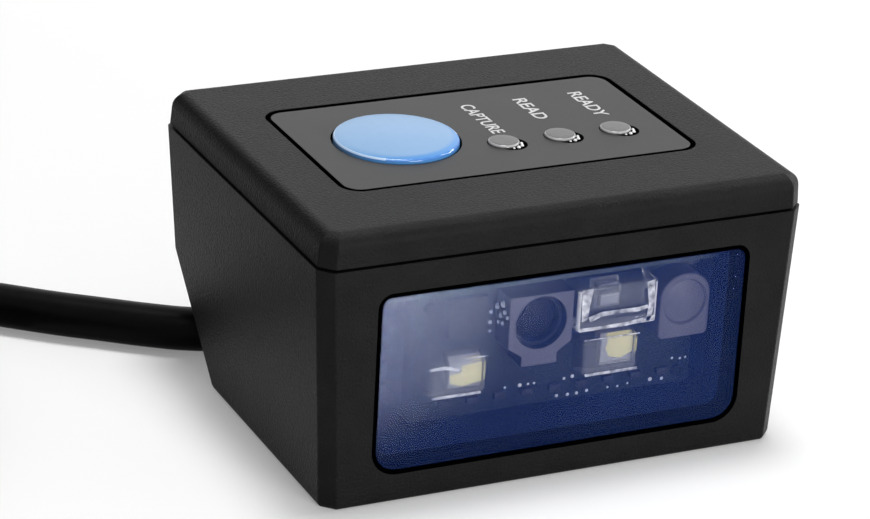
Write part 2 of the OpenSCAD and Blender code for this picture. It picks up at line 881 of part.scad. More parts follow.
module indicator_leds() {
    color([0.95, 0.93, 0.85])
    for (p = light_places)
        translate([p[0] - led_l / 2, p[1] - led_w / 2, board_top])
            cube([led_l, led_w, led_h]);
}

// Main board and what it carries

module main_board() {
    color(board_colour)
    difference() {
        translate([-board_half, board_front, board_under])
            cube([2 * board_half, board_rear - board_front, board_t]);
        for (p = post_places)
            translate([p[0], p[1], board_under - through])
                cylinder(h = board_t + 2 * through, r = small_d / 2 + snug);
    }
}

module board_screws() {
    color(steel_colour)
    for (p = post_places)
        translate([p[0], p[1], board_under])
            screw_up(small_d, small_len, small_head_d, small_head_h);
}

module main_processor() {
    color(black_plastic)
    translate([-board_half / 2 - chip_w / 2, board_rear / 2 - chip_w / 2, board_under - chip_h])
        cube([chip_w, chip_w, chip_h]);
}

module buzzer() {
    color(black_plastic)
    translate([light_places[1][0], light_y + light_d / 2 + light_flange + fit + 1 + buzzer_d / 2, board_top])
        difference() {
            cylinder(h = buzzer_h, r = buzzer_d / 2);
            translate([0, 0, buzzer_h / 2])
                cylinder(h = buzzer_h, r = 1);
        }
}

module cable_header() {
    color([0.92, 0.9, 0.84])
    difference() {
        translate([cable_x - header_w / 2, header_y - header_d / 2, board_under - header_h])
            cube([header_w, header_d, header_h]);
        translate([
            cable_x - header_w / 2 + header_wall, header_y - header_d / 2 + header_wall,
            board_under - header_h - through
        ])
            cube([header_w - 2 * header_wall, header_d - 2 * header_wall, header_deep + through]);
    }
}

module harness_plug() {
    inset = header_wall + fit / 2;
    color([0.92, 0.9, 0.84])
    translate([cable_x - header_w / 2 + inset, header_y - header_d / 2 + inset, harness_foot])
        cube([header_w - 2 * inset, header_d - 2 * inset, harness_h]);
}

// One wire: forward out of the cable, round a bend and up to the plug, spreading to the plug's pitch
function wire_route(k) =
    let (
        step = k - (wire_count - 1) / 2,
        near = cable_x + step * wire_close,
        wide = cable_x + step * wire_pitch,
        up_z = cable_z + wire_bend
    )
    concat(
        [[near, cable_start, cable_z]],
        [for (i = [0:wire_steps]) let (a = 90 * i / wire_steps)
            [near, header_y + wire_bend * (1 - sin(a)), up_z - wire_bend * cos(a)]],
        [[wide, header_y, (up_z + harness_foot) / 2 + 1], [wide, header_y, harness_foot]]
    );

module harness_wires() {
    color([0.8, 0.15, 0.12])
    for (k = [0:wire_count - 1])
        tube(wire_route(k), wire_d / 2, 8, [1, 0, 0]);
}

module main_flex_socket() {
    color([0.85, 0.82, 0.74])
    translate([flex_x - socket_w / 2, main_socket_y, board_under - socket_t])
        cube([socket_w, main_socket_l, socket_t]);
}

module engine_flex_socket() {
    color([0.85, 0.82, 0.74])
    translate([flex_x - socket_w / 2, engine_back, engine_socket_top - engine_socket_h])
        cube([socket_w, socket_t, engine_socket_h]);
}

// Flat cable: up from the engine's socket, round one bend and along to the main board's socket
module flex_cable() {
    turn_y = flex_y + flex_bend;
    turn_z = flex_z - flex_bend;
    inner = flex_bend - flex_t / 2;
    outer = flex_bend + flex_t / 2;
    color([0.9, 0.9, 0.88])
    across(flex_x - flex_w / 2, flex_w) {
        translate([flex_y - flex_t / 2, engine_socket_top])
            square([flex_t, turn_z - engine_socket_top]);
        translate([turn_y, turn_z])
            intersection() {
                difference() {
                    circle(outer);
                    circle(inner);
                }
                translate([-outer, 0])
                    square(outer);
            }
        translate([turn_y, flex_z - flex_t / 2])
            square([main_socket_y - turn_y, flex_t]);
    }
}

// Scan engine

// Upright plate behind the board with a notch for the flat cable, and a foot screwed to the base
module engine_chassis() {
    notch_low = engine_socket_top - engine_socket_h - 1;
    color([0.16, 0.16, 0.18])
    difference() {
        union() {
            translate([engine_left, engine_back, chassis_seat])
                cube([engine_w, chassis_t, engine_top - chassis_seat]);
            translate([engine_left, engine_back, chassis_seat])
                cube([engine_w, chassis_t + chassis_foot, chassis_t]);
            for (p = stake_places)
                bar_y(p[0], p[1], engine_y - stake_rise, engine_back + chassis_t / 2, stake_r);
        }
        translate([flex_x - socket_w / 2 - fit, engine_back - through, notch_low])
            cube([socket_w + 2 * fit, chassis_t + 2 * through, engine_top]);
        for (p = chassis_screw_places)
            translate([p[0], p[1], chassis_seat - through])
                cylinder(h = chassis_t + 2 * through, r = small_d / 2 + snug);
    }
}

module engine_board() {
    color(board_colour)
    difference() {
        translate([engine_left, engine_y, engine_bottom])
            cube([engine_w, engine_t, engine_top - engine_bottom]);
        for (p = stake_places)
            bar_y(p[0], p[1], engine_y - through, engine_back + through, stake_r + snug);
    }
}

module engine_screws() {
    length = chassis_t + chassis_seat - floor_t / 2 - fit;
    color(steel_colour)
    for (p = chassis_screw_places)
        translate([p[0], p[1], chassis_seat + chassis_t])
            rotate([180, 0, 0])
                screw_up(small_d, length, small_head_d, small_head_h);
}

// Decoder chip left of the camera and a row of small parts along the board's lower edge
module engine_chips() {
    decoder = 4;
    decoder_h = 0.8;
    decoder_high = 0.5;
    part_l = 1.1;
    part_w = 0.6;
    part_h = 0.5;
    part_count = 9;
    row_inset = 3.2;
    first = engine_left + row_inset;
    step = (engine_right - row_inset - first) / (part_count - 1);
    strip_z = (engine_bottom + lamp_z - lamp_h / 2) / 2;
    decoder_x = (engine_left + stake_inset + stake_r + lens_x - holder_w / 2) / 2;
    color([0.2, 0.2, 0.22])
    translate([decoder_x - decoder / 2, engine_y - decoder_h, lens_z - decoder / 2 + decoder_high])
        cube([decoder, decoder_h, decoder]);
    color([0.75, 0.68, 0.55])
    for (k = [0:part_count - 1])
        translate([first + k * step - part_l / 2, engine_y - part_h, strip_z - part_w / 2])
            cube([part_l, part_h, part_w]);
}

// Square body round the camera, chamfered down to a narrow foot
module camera_holder() {
    color([0.3, 0.29, 0.36])
    difference() {
        facing_front(engine_y, holder_depth)
            translate([lens_x, lens_z])
                polygon([
                    [-holder_w / 2, lens_drop], [-holder_w / 2, -holder_low],
                    [-holder_foot_w / 2, -holder_low - 1], [-holder_foot_w / 2, -holder_low - holder_foot_h],
                    [holder_foot_w / 2, -holder_low - holder_foot_h], [holder_foot_w / 2, -holder_low - 1],
                    [holder_w / 2, -holder_low], [holder_w / 2, lens_drop]
                ]);
        bar_y(lens_x, lens_z, engine_y - holder_depth - through, engine_y + through, lens_d / 2);
    }
}

barrel_sink = 0.8;
barrel_len = holder_depth - barrel_sink - 0.9;
barrel_front = engine_y - holder_depth + barrel_sink;
glass_t = 0.7;

module lens_barrel() {
    outer = lens_d / 2 - snug;
    color([0.08, 0.08, 0.09])
    difference() {
        bar_y(lens_x, lens_z, barrel_front, barrel_front + barrel_len, outer);
        bar_y(lens_x, lens_z, barrel_front - through, barrel_front + glass_t + fit, outer - barrel_wall);
        bar_y(lens_x, lens_z, barrel_front - through, barrel_front + barrel_len + through, outer - 2 * barrel_wall);
    }
}

// Front element, domed towards the window
module lens_glass() {
    r = lens_d / 2 - 2 * snug - barrel_wall;
    ball = (r * r + glass_t * glass_t) / (2 * glass_t);
    back = barrel_front + glass_t + fit;
    color([0.2, 0.22, 0.4, 0.7])
    intersection() {
        bar_y(lens_x, lens_z, back - glass_t, back, r);
        translate([lens_x, back - glass_t + ball, lens_z])
            sphere(ball, $fn = 96);
    }
}

module image_sensor() {
    size = 3.2;
    color([0.25, 0.3, 0.32])
    translate([lens_x - size / 2, engine_y - 0.6, lens_z - size / 2])
        cube([size, 0.6, size]);
}

// Clear moulded lens over one LED: a shallow pyramid with a pocket at its back
module illumination_lens(x) {
    slope = 0.15;
    edge = 0.25;
    pocket = lamp_led_t + fit;
    color(clear_colour)
    difference() {
        translate([x, engine_y, lamp_z])
            rotate([90, 0, 0])
                loft([
                    for (step = [[0, 0], [lamp_depth - edge, slope], [lamp_depth, slope + edge]])
                        round_loop(lamp_w / 2 - step[1], lamp_h / 2 - step[1], lamp_h / 2 - step[1], 0.3, step[0])
                ]);
        translate([x + lamp_led_shift - lamp_led_w / 2 - fit, engine_y - pocket, lamp_z - lamp_led_h / 2 - fit])
            cube([lamp_led_w + 2 * fit, pocket + through, lamp_led_h + 2 * fit]);
    }
}

module left_illumination_lens() {
    illumination_lens(lens_x - lamp_x);
}

module right_illumination_lens() {
    illumination_lens(lens_x + lamp_x);
}

module illumination_leds() {
    color([0.85, 0.8, 0.4])
    for (x = [lens_x - lamp_x, lens_x + lamp_x])
        translate([x + lamp_led_shift - lamp_led_w / 2, engine_y - lamp_led_t, lamp_z - lamp_led_h / 2])
            cube([lamp_led_w, lamp_led_t, lamp_led_h]);
}

// Clear block with a stepped face and a pocket for the aiming LED
module aiming_lens() {
    rim = 1;
    step = 0.6;
    pocket = lamp_led_t + fit;
    color(clear_colour)
    difference() {
        translate([aim_left, engine_y - aim_depth, aim_z - aim_h / 2])
            cube([aim_w, aim_depth, aim_h]);
        translate([aim_left + rim, engine_y - aim_depth - through, aim_z - aim_h / 2 + rim])
            cube([aim_w - 2 * rim, step + through, aim_h - 2 * rim]);
        translate([aim_x - led_l / 2 - fit, engine_y - pocket, aim_z - led_w / 2 - fit])
            cube([led_l + 2 * fit, pocket + through, led_w + 2 * fit]);
    }
}

module aiming_led() {
    color([0.95, 0.9, 0.85])
    translate([aim_x - led_l / 2, engine_y - lamp_led_t, aim_z - led_w / 2])
        cube([led_l, lamp_led_t, led_w]);
}

presence_low = engine_top - presence_h;
presence_lower = 0.3;
presence_z = engine_top - presence_w / 2 - presence_lower;
presence_deep = 0.4;

// Body with round upper corners and a round pocket for its lens
module presence_housing() {
    color([0.3, 0.29, 0.36])
    difference() {
        facing_front(engine_y, presence_depth)
            translate([presence_x, presence_low])
                rounded_panel(presence_w, presence_h, 0.6, presence_w / 2 - 0.2);
        bar_y(presence_x, presence_z, engine_y - presence_depth - through,
            engine_y - presence_depth + presence_deep, presence_d / 2);
    }
}

module presence_lens() {
    r = presence_d / 2 - snug;
    ball = (r * r + presence_deep * presence_deep) / (2 * presence_deep);
    back = engine_y - presence_depth + presence_deep;
    color([0.35, 0.33, 0.42])
    intersection() {
        bar_y(presence_x, presence_z, back - presence_deep, back, r);
        translate([presence_x, back - presence_deep + ball, presence_z])
            sphere(ball, $fn = 96);
    }
}

// Cable, coil and plug

module cable_grommet() {
    flange_y = seat_y - grommet_flange_t;
    taper = 4;
    slim = 0.25;
    color(rubber_colour)
    translate([cable_x, flange_y, cable_z])
        rotate([-90, 0, 0])
            difference() {
                union() {
                    cylinder(h = grommet_flange_t, r = grommet_flange_r);
                    cylinder(h = grommet_end - taper - flange_y, r = grommet_r);
                    translate([0, 0, grommet_end - taper - flange_y])
                        cylinder(h = taper, r1 = grommet_r, r2 = grommet_r - slim);
                }
                translate([0, 0, -through])
                    cylinder(h = grommet_end - flange_y + 2 * through, r = cable_r + snug);
            }
}

module cable() {
    color(black_plastic)
    tube(cable_route, cable_r, 12, [0, 0, 1]);
}

module cable_coil() {
    color(black_plastic)
    translate([coil_centre[0], coil_centre[1], tie_t])
        rotate_extrude() {
            translate([coil_in, 0])
                square([coil_out - coil_in, 2 * cable_d]);
            translate([coil_in - cable_r, cable_r])
                square([coil_out - coil_in + cable_d, cable_d]);
            for (r = [coil_in, coil_out]) for (z = [cable_r, cable_d + cable_r])
                translate([r, z])
                    circle(cable_r);
        }
}

module cable_tail() {
    color(black_plastic)
    tube(tail_route, cable_r, 12, [0, 0, 1]);
}

// Flat strap round the coil's section
module cable_tie() {
    inner_w = coil_out - coil_in + cable_d + 2 * tie_slack;
    inner_h = 2 * cable_d;
    color(rubber_colour)
    translate([coil_centre[0], coil_centre[1], 0])
        rotate([0, 0, tie_angle])
            translate([(coil_in + coil_out) / 2, tie_w / 2, 0])
                rotate([90, 0, 0])
                    linear_extrude(tie_w)
                        difference() {
                            rounded_panel(inner_w + 2 * tie_t, inner_h + 2 * tie_t, 1, 1);
                            translate([0, tie_t])
                                rounded_panel(inner_w, inner_h, 0.6, 0.6);
                        }
}

// Puts a piece drawn upwards along +z, with its height along +y, onto the plug's axis
module on_plug() {
    translate([plug_x, plug_y, plug_z])
        rotate([90, 0, 0])
            children();
}

module plug_grip() {
    ribs = 4;
    rib_gap = 0.6;
    end = relief_len + grip_len;
    ease = 1.2;
    shoulder = 5;
    tip = 2;
    neck = 2;
    color(rubber_colour)
    on_plug()
        difference() {
            union() {
                loft([
                    for (step = [[relief_len, neck], [relief_len + shoulder, neck / 8], [end - tip, 0], [end, ease]])
                        round_loop(grip_w / 2 - step[1], grip_h / 2 - step[1], grip_h / 2 - step[1], 1.6, step[0])
                ]);
                difference() {
                    cylinder(h = relief_len + 1, r = relief_r);
                    for (k = [1:ribs])
                        translate([0, 0, k * relief_len / (ribs + 1)])
                            difference() {
                                cylinder(h = rib_gap, r = relief_r + through);
                                cylinder(h = rib_gap, r = relief_r - rib_gap);
                            }
                }
            }
            translate([0, 0, -through])
                cylinder(h = relief_len + through, r = cable_r + snug);
            translate([-shell_w / 2 - snug, -shell_h / 2 - snug, end - shell_sunk])
                cube([shell_w + 2 * snug, shell_h + 2 * snug, shell_sunk + through]);
        }
}

// Folded steel sheet with two square catch holes in each wide side
module plug_shell() {
    start = relief_len + grip_len - shell_sunk;
    length = shell_sunk + shell_len;
    catch_size = 2.2;
    catch_back = 7.5;
    color(steel_colour)
    on_plug()
        difference() {
            translate([-shell_w / 2, -shell_h / 2, start])
                cube([shell_w, shell_h, length]);
            translate([shell_t - shell_w / 2, shell_t - shell_h / 2, start - through])
                cube([shell_w - 2 * shell_t, shell_h - 2 * shell_t, length + 2 * through]);
            for (side = [-1, 1])
                translate([side * shell_w / 4 - catch_size / 2, -shell_h, start + length - catch_back])
                    cube([catch_size, 2 * shell_h, catch_size]);
        }
}

module plug_tongue() {
    start = relief_len + grip_len - shell_sunk;
    color([0.9, 0.9, 0.9])
    on_plug()
        translate([shell_t - shell_w / 2, shell_t - shell_h / 2, start])
            cube([shell_w - 2 * shell_t, tongue_h, shell_sunk + shell_len - tongue_short]);
}

module plug_contacts() {
    tip = relief_len + grip_len + shell_len - tongue_short - 0.4;
    color([0.85, 0.68, 0.3])
    on_plug()
        for (k = [0:contact_count - 1])
            translate([
                (k - (contact_count - 1) / 2) * contact_pitch - contact_w / 2,
                shell_t - shell_h / 2 + tongue_h, tip - contact_len
            ])
                cube([contact_w, contact_t, contact_len]);
}

lower_housing();
top_cover();
cover_seal();
cover_screws();
mounting_inserts();
front_window();
window_gasket();
panel_overlay();
trigger_button();
switch_plunger();
tact_switch();
scan_light_pipe();
read_light_pipe();
power_light_pipe();
indicator_leds();
main_board();
board_screws();
main_processor();
buzzer();
cable_header();
harness_plug();
harness_wires();
main_flex_socket();
flex_cable();
engine_flex_socket();
engine_chassis();
engine_board();
engine_screws();
engine_chips();
camera_holder();
lens_barrel();
lens_glass();
image_sensor();
left_illumination_lens();
right_illumination_lens();
illumination_leds();
aiming_lens();
aiming_led();
presence_housing();
presence_lens();
cable_grommet();
cable();
cable_coil();
cable_tail();
cable_tie();
plug_grip();
plug_shell();
plug_tongue();
plug_contacts();
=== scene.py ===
import math

import bmesh
import bpy
from mathutils import Matrix, Vector


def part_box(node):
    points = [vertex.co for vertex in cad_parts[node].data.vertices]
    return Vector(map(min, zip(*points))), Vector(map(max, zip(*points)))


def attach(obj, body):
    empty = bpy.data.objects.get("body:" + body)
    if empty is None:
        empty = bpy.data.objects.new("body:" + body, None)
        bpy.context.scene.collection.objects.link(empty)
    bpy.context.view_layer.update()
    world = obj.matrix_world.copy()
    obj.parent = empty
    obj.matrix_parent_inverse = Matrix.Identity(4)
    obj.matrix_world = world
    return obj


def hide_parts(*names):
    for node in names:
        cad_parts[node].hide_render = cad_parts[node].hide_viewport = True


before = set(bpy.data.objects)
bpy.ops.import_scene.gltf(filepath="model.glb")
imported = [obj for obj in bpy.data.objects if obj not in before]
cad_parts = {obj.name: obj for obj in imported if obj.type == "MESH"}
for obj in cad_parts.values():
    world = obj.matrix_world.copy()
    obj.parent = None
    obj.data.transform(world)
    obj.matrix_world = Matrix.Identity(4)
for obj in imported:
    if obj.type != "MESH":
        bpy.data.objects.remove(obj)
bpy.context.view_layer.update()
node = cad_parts
MM = 0.001


# Base of the housing.
# One moulding in charcoal ABS with a fine sparked grain: drafted sides, a window recess in front,
# a slanted rear foot and open underside holes. The brass inserts are pressed in hot from below.

def make_grain_group():
    group = bpy.data.node_groups.new("Moulded grain", "ShaderNodeTree")
    face = group.interface
    face.new_socket("Vector", in_out="INPUT", socket_type="NodeSocketVector")
    for name in ("Dark", "Light"):
        face.new_socket(name, in_out="INPUT", socket_type="NodeSocketColor")
    for name in ("Grain", "Patch", "Smooth", "Rough", "Relief"):
        face.new_socket(name, in_out="INPUT", socket_type="NodeSocketFloat")
    face.new_socket("Color", in_out="OUTPUT", socket_type="NodeSocketColor")
    face.new_socket("Roughness", in_out="OUTPUT", socket_type="NodeSocketFloat")
    face.new_socket("Normal", in_out="OUTPUT", socket_type="NodeSocketVector")
    n, link = group.nodes, group.links.new
    given = n.new("NodeGroupInput")
    out = n.new("NodeGroupOutput")
    fine = n.new("ShaderNodeTexNoise")
    fine.inputs["Detail"].default_value = 3
    fine.inputs["Roughness"].default_value = 0.6
    broad = n.new("ShaderNodeTexNoise")
    broad.inputs["Detail"].default_value = 2
    link(given.outputs["Vector"], fine.inputs["Vector"])
    link(given.outputs["Grain"], fine.inputs["Scale"])
    link(given.outputs["Vector"], broad.inputs["Vector"])
    link(given.outputs["Patch"], broad.inputs["Scale"])
    blend = n.new("ShaderNodeMath")
    blend.operation = "ADD"
    link(fine.outputs["Fac"], blend.inputs[0])
    link(broad.outputs["Fac"], blend.inputs[1])
    spread = n.new("ShaderNodeMapRange")
    spread.inputs["From Min"].default_value = 0.7
    spread.inputs["From Max"].default_value = 1.3
    link(blend.outputs[0], spread.inputs["Value"])
    tint = n.new("ShaderNodeMix")
    tint.data_type = "RGBA"
    link(spread.outputs["Result"], tint.inputs["Factor"])
    link(given.outputs["Dark"], tint.inputs["A"])
    link(given.outputs["Light"], tint.inputs["B"])
    sheen = n.new("ShaderNodeMapRange")
    sheen.inputs["From Min"].default_value = 0.3
    sheen.inputs["From Max"].default_value = 0.7
    link(fine.outputs["Fac"], sheen.inputs["Value"])
    link(given.outputs["Smooth"], sheen.inputs["To Min"])
    link(given.outputs["Rough"], sheen.inputs["To Max"])
    relief = n.new("ShaderNodeBump")
    relief.inputs["Strength"].default_value = 1
    link(given.outputs["Relief"], relief.inputs["Distance"])
    link(fine.outputs["Fac"], relief.inputs["Height"])
    link(tint.outputs["Result"], out.inputs["Color"])
    link(sheen.outputs["Result"], out.inputs["Roughness"])
    link(relief.outputs["Normal"], out.inputs["Normal"])
    return group


grain_group = make_grain_group()


# A material with the grain group on its colour, roughness and normal; plain holds fixed shader sockets
def grained(name, dark, light, grain, patch, smooth, rough, relief, **plain):
    material = bpy.data.materials.new(name)
    material.use_nodes = True
    n, link = material.node_tree.nodes, material.node_tree.links.new
    shader = n["Principled BSDF"]
    place = n.new("ShaderNodeTexCoord")
    grain_node = n.new("ShaderNodeGroup")
    grain_node.node_tree = grain_group
    link(place.outputs["Object"], grain_node.inputs["Vector"])
    grain_node.inputs["Dark"].default_value = (*dark, 1)
    grain_node.inputs["Light"].default_value = (*light, 1)
    for socket, value in (
        ("Grain", grain), ("Patch", patch), ("Smooth", smooth), ("Rough", rough), ("Relief", relief),
    ):
        grain_node.inputs[socket].default_value = value
    link(grain_node.outputs["Color"], shader.inputs["Base Color"])
    link(grain_node.outputs["Roughness"], shader.inputs["Roughness"])
    link(grain_node.outputs["Normal"], shader.inputs["Normal"])
    for socket, value in plain.items():
        shader.inputs[socket.replace("_", " ")].default_value = value
    return material


def finish_with(obj, material):
    obj.data.materials.clear()
    obj.data.materials.append(material)
    for polygon in obj.data.polygons:
        polygon.material_index = 0


# A smooth-shaded piece from a bmesh, riding on a body; faces marked 1 take the second material
def piece_from(bm, name, material, body, sharp=30, second=None):
    mesh = bpy.data.meshes.new(name)
    bm.to_mesh(mesh)
    bm.free()
    piece = bpy.data.objects.new(name, mesh)
    bpy.context.scene.collection.objects.link(piece)
    mesh.shade_smooth()
    mesh.set_sharp_from_angle(angle=math.radians(sharp))
    mesh.materials.append(material)
    if second:
        mesh.materials.append(second)
    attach(piece, body)
    return piece


# The mesh of a solid with its facets merged into whole faces
def merged_solid(solid):
    bm = bmesh.new()
    bm.from_mesh(node[solid].data)
    bmesh.ops.remove_doubles(bm, verts=bm.verts, dist=2e-6)
    bmesh.ops.dissolve_limit(bm, angle_limit=math.radians(0.5), verts=bm.verts, edges=bm.edges)
    for face in bm.faces:
        face.material_index = 0
    return bm


# A moulding shaped as its solid is, with its edges eased by a small radius; the faces that the test
# chooses by their middle and normal take the second material
def eased_moulding(name, solid, material, body, ease, second=None, chosen=None):
    bm = merged_solid(solid)
    if second:
        for face in bm.faces:
            face.material_index = int(chosen(face.calc_center_median(), face.normal))
    piece = piece_from(bm, name, material, body, 30, second)
    edge = piece.modifiers.new("Eased edges", "BEVEL")
    edge.width = ease
    edge.segments = 2
    edge.limit_method = "ANGLE"
    edge.angle_limit = math.radians(40)
    flat = piece.modifiers.new("Flat faces", "WEIGHTED_NORMAL")
    flat.keep_sharp = True
    flat.weight = 100
    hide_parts(solid)
    return piece


charcoal = grained(
    "Charcoal plastic", (0.003, 0.003, 0.003), (0.007, 0.007, 0.007), 4200, 240, 0.32, 0.46, 0.00010,
    Specular_IOR_Level=0.08,
)
# Painted shade: a near-black for recesses, gaps and edges where shade falls
shade_black = grained(
    "Painted shade black", (0.0010, 0.0010, 0.0010), (0.0020, 0.0020, 0.0020), 2400, 240, 0.8, 0.9, 0.00001,
    Specular_IOR_Level=0.0,
)
inside_half_w = 22.5 * MM
inside_front, inside_back = -20.15 * MM, 10 * MM
inside_floor, inside_top = 0.5 * MM, 24 * MM
edge_ease = 0.12 * MM
# The faces inside the window's opening take painted shade in black
base = eased_moulding(
    "housing_base", "lower_housing", charcoal, "reader", edge_ease, shade_black,
    lambda c, n: abs(c.x) < inside_half_w and inside_front < c.y < inside_back
    and inside_floor < c.z < inside_top,
)

brass = grained(
    "Turned brass", (0.55, 0.36, 0.12), (0.68, 0.47, 0.18), 6000, 500, 0.2, 0.34, 0.000003, Metallic=1.0,
)
finish_with(node["mounting_inserts"], brass)


# Scan engine.
# A bought-in module behind the window: a black chassis screwed to the floor, a dark board on two
# stakes, a grey camera holder with its lens, clear moulded lenses over two phosphor LEDs, an aiming
# lens and a round presence sensor. Small solder joints show along the board.

engine_black = grained(
    "Engine chassis plastic", (0.004, 0.004, 0.005), (0.008, 0.008, 0.009), 5000, 300, 0.5, 0.65, 0.000006,
    Specular_IOR_Level=0.1,
)
engine_mask = grained(
    "Dark solder mask", (0.006, 0.009, 0.012), (0.012, 0.018, 0.021), 900, 4200, 0.35, 0.5, 0.000006,
    Specular_IOR_Level=0.2,
)
plated_steel = grained(
    "Plated steel", (0.50, 0.50, 0.51), (0.64, 0.64, 0.65), 4000, 300, 0.22, 0.36, 0.000003, Metallic=1.0,
)
chip_body = grained(
    "Chip body", (0.020, 0.020, 0.024), (0.035, 0.034, 0.040), 4000, 700, 0.35, 0.55, 0.000004,
    Specular_IOR_Level=0.2,
)
holder_grey = grained(
    "Camera holder plastic", (0.095, 0.090, 0.122), (0.125, 0.118, 0.152), 4200, 300, 0.35, 0.5, 0.000005,
    Specular_IOR_Level=0.2,
)
barrel_black_and_side_shade = grained(
    "Lens barrel plastic and painted side shade", (0.010, 0.012, 0.020), (0.016, 0.019, 0.030), 4200, 300, 0.3, 0.45, 0.000004,
    Specular_IOR_Level=0.2,
)
lens_coating = grained(
    "Coated lens glass", (0.010, 0.012, 0.024), (0.014, 0.016, 0.032), 500, 100, 0.06, 0.1, 0.0,
    Specular_IOR_Level=0.03,
)
# Painted shade: the LED packages are dark grey, standing in for their shade behind the lenses
led_shade_dark = grained(
    "LED package in painted shade", (0.10, 0.10, 0.115), (0.14, 0.14, 0.155), 3000, 500, 0.4, 0.55, 0.000004,
)
finish_with(node["engine_chassis"], engine_black)
finish_with(node["engine_board"], engine_mask)
finish_with(node["engine_screws"], plated_steel)
finish_with(node["engine_chips"], chip_body)
finish_with(node["lens_barrel"], barrel_black_and_side_shade)
finish_with(node["lens_glass"], lens_coating)
finish_with(node["image_sensor"], chip_body)
finish_with(node["illumination_leds"], led_shade_dark)
finish_with(node["aiming_led"], led_shade_dark)
# The holder's sides take painted shade in the barrel's black
holder = eased_moulding(
    "camera_body", "camera_holder", holder_grey, "reader", 0.1 * MM, barrel_black_and_side_shade,
    lambda c, n: abs(n.y) < 0.5,
)
presence = eased_moulding("presence_body", "presence_housing", holder_grey, "reader", 0.15 * MM)
finish_with(node["presence_lens"], holder_grey)


# Clear moulded plastic with a slight milkiness: lamps shine through it, so what is behind stays lit
def clear_plastic(name, colour, clearness, roughness, ior):
    material = bpy.data.materials.new(name)
    material.use_nodes = True
    n, link = material.node_tree.nodes, material.node_tree.links.new
    shader = n["Principled BSDF"]
    shader.inputs["Transmission Weight"].default_value = clearness
    shader.inputs["IOR"].default_value = ior
    place = n.new("ShaderNodeTexCoord")
    swirl = n.new("ShaderNodeTexNoise")
    swirl.inputs["Scale"].default_value = 900
    link(place.outputs["Object"], swirl.inputs["Vector"])
    haze = n.new("ShaderNodeMapRange")
    haze.inputs["To Min"].default_value = roughness * 0.5
    haze.inputs["To Max"].default_value = roughness * 1.5
    link(swirl.outputs["Fac"], haze.inputs["Value"])
    link(haze.outputs["Result"], shader.inputs["Roughness"])
    tint = n.new("ShaderNodeMix")
    tint.data_type = "RGBA"
    tint.inputs["A"].default_value = (*colour, 1)
    tint.inputs["B"].default_value = (*[c * 0.94 for c in colour], 1)
    link(swirl.outputs["Fac"], tint.inputs["Factor"])
    link(tint.outputs["Result"], shader.inputs["Base Color"])
    through = n.new("ShaderNodeBsdfTransparent")
    through.inputs["Color"].default_value = (*colour, 1)
    path = n.new("ShaderNodeLightPath")
    mix = n.new("ShaderNodeMixShader")
    link(path.outputs["Is Shadow Ray"], mix.inputs["Fac"])
    link(shader.outputs["BSDF"], mix.inputs[1])
    link(through.outputs["BSDF"], mix.inputs[2])
    link(mix.outputs["Shader"], n["Material Output"].inputs["Surface"])
    return material


clear = clear_plastic("Clear polycarbonate", (0.92, 0.92, 0.95), 0.88, 0.04, 1.25)
# Painted highlight: a pale grey for the clear lenses' eased edges
painted_edge_highlight = grained(
    "Painted lens edge highlight", (0.55, 0.55, 0.58), (0.80, 0.80, 0.82), 2400, 600, 0.25, 0.4, 0.000004,
)


# A clear block with eased edges; the eased faces that the test chooses take a painted highlight in pale
# grey
def clear_block(name, solid, ease, highlighted):
    bm = merged_solid(solid)
    sharp = [e for e in bm.edges if e.is_manifold and e.calc_face_angle() > math.radians(40)]
    result = bmesh.ops.bevel(
        bm, geom=sharp, offset=ease, offset_type="OFFSET", segments=2, profile=0.5, affect="EDGES",
        clamp_overlap=True, material=-1,
    )
    low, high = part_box(solid)
    for face in result["faces"]:
        face.material_index = int(highlighted(face.calc_center_median(), low, high))
    piece = piece_from(bm, name, clear, "reader", 30, painted_edge_highlight)
    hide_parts(solid)


lower_lip = 0.25 * MM
for name, solid in (
    ("left_lamp_lens", "left_illumination_lens"),
    ("right_lamp_lens", "right_illumination_lens"),
):
    clear_block(
        name, solid, 0.14 * MM,
        lambda c, low, high: c.z < low.z + lower_lip and c.y < (low.y + high.y) / 2,
    )
front_band, highlight_width = 0.4 * MM, 0.32 * MM
clear_block(
    "aiming_block", "aiming_lens", 0.3 * MM,
    lambda c, low, high: c.y < low.y + front_band and c.z < high.z - front_band and (
        min(c.x - low.x, high.x - c.x, c.z - low.z) < highlight_width
    ),
)


# Flat patches that face the front, a little proud of a piece's front; each has an outline on a lens, as
# (x, z) in mm from the lens's lower left corner
def patches(name, front_of, proud, outlines, material):
    bm = bmesh.new()
    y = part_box(front_of)[0].y - proud
    for lens, outline in outlines:
        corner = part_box(lens)[0]
        bm.faces.new([bm.verts.new((corner.x + x * MM, y, corner.z + z * MM)) for x, z in outline])
    piece = piece_from(bm, name, material, "reader")


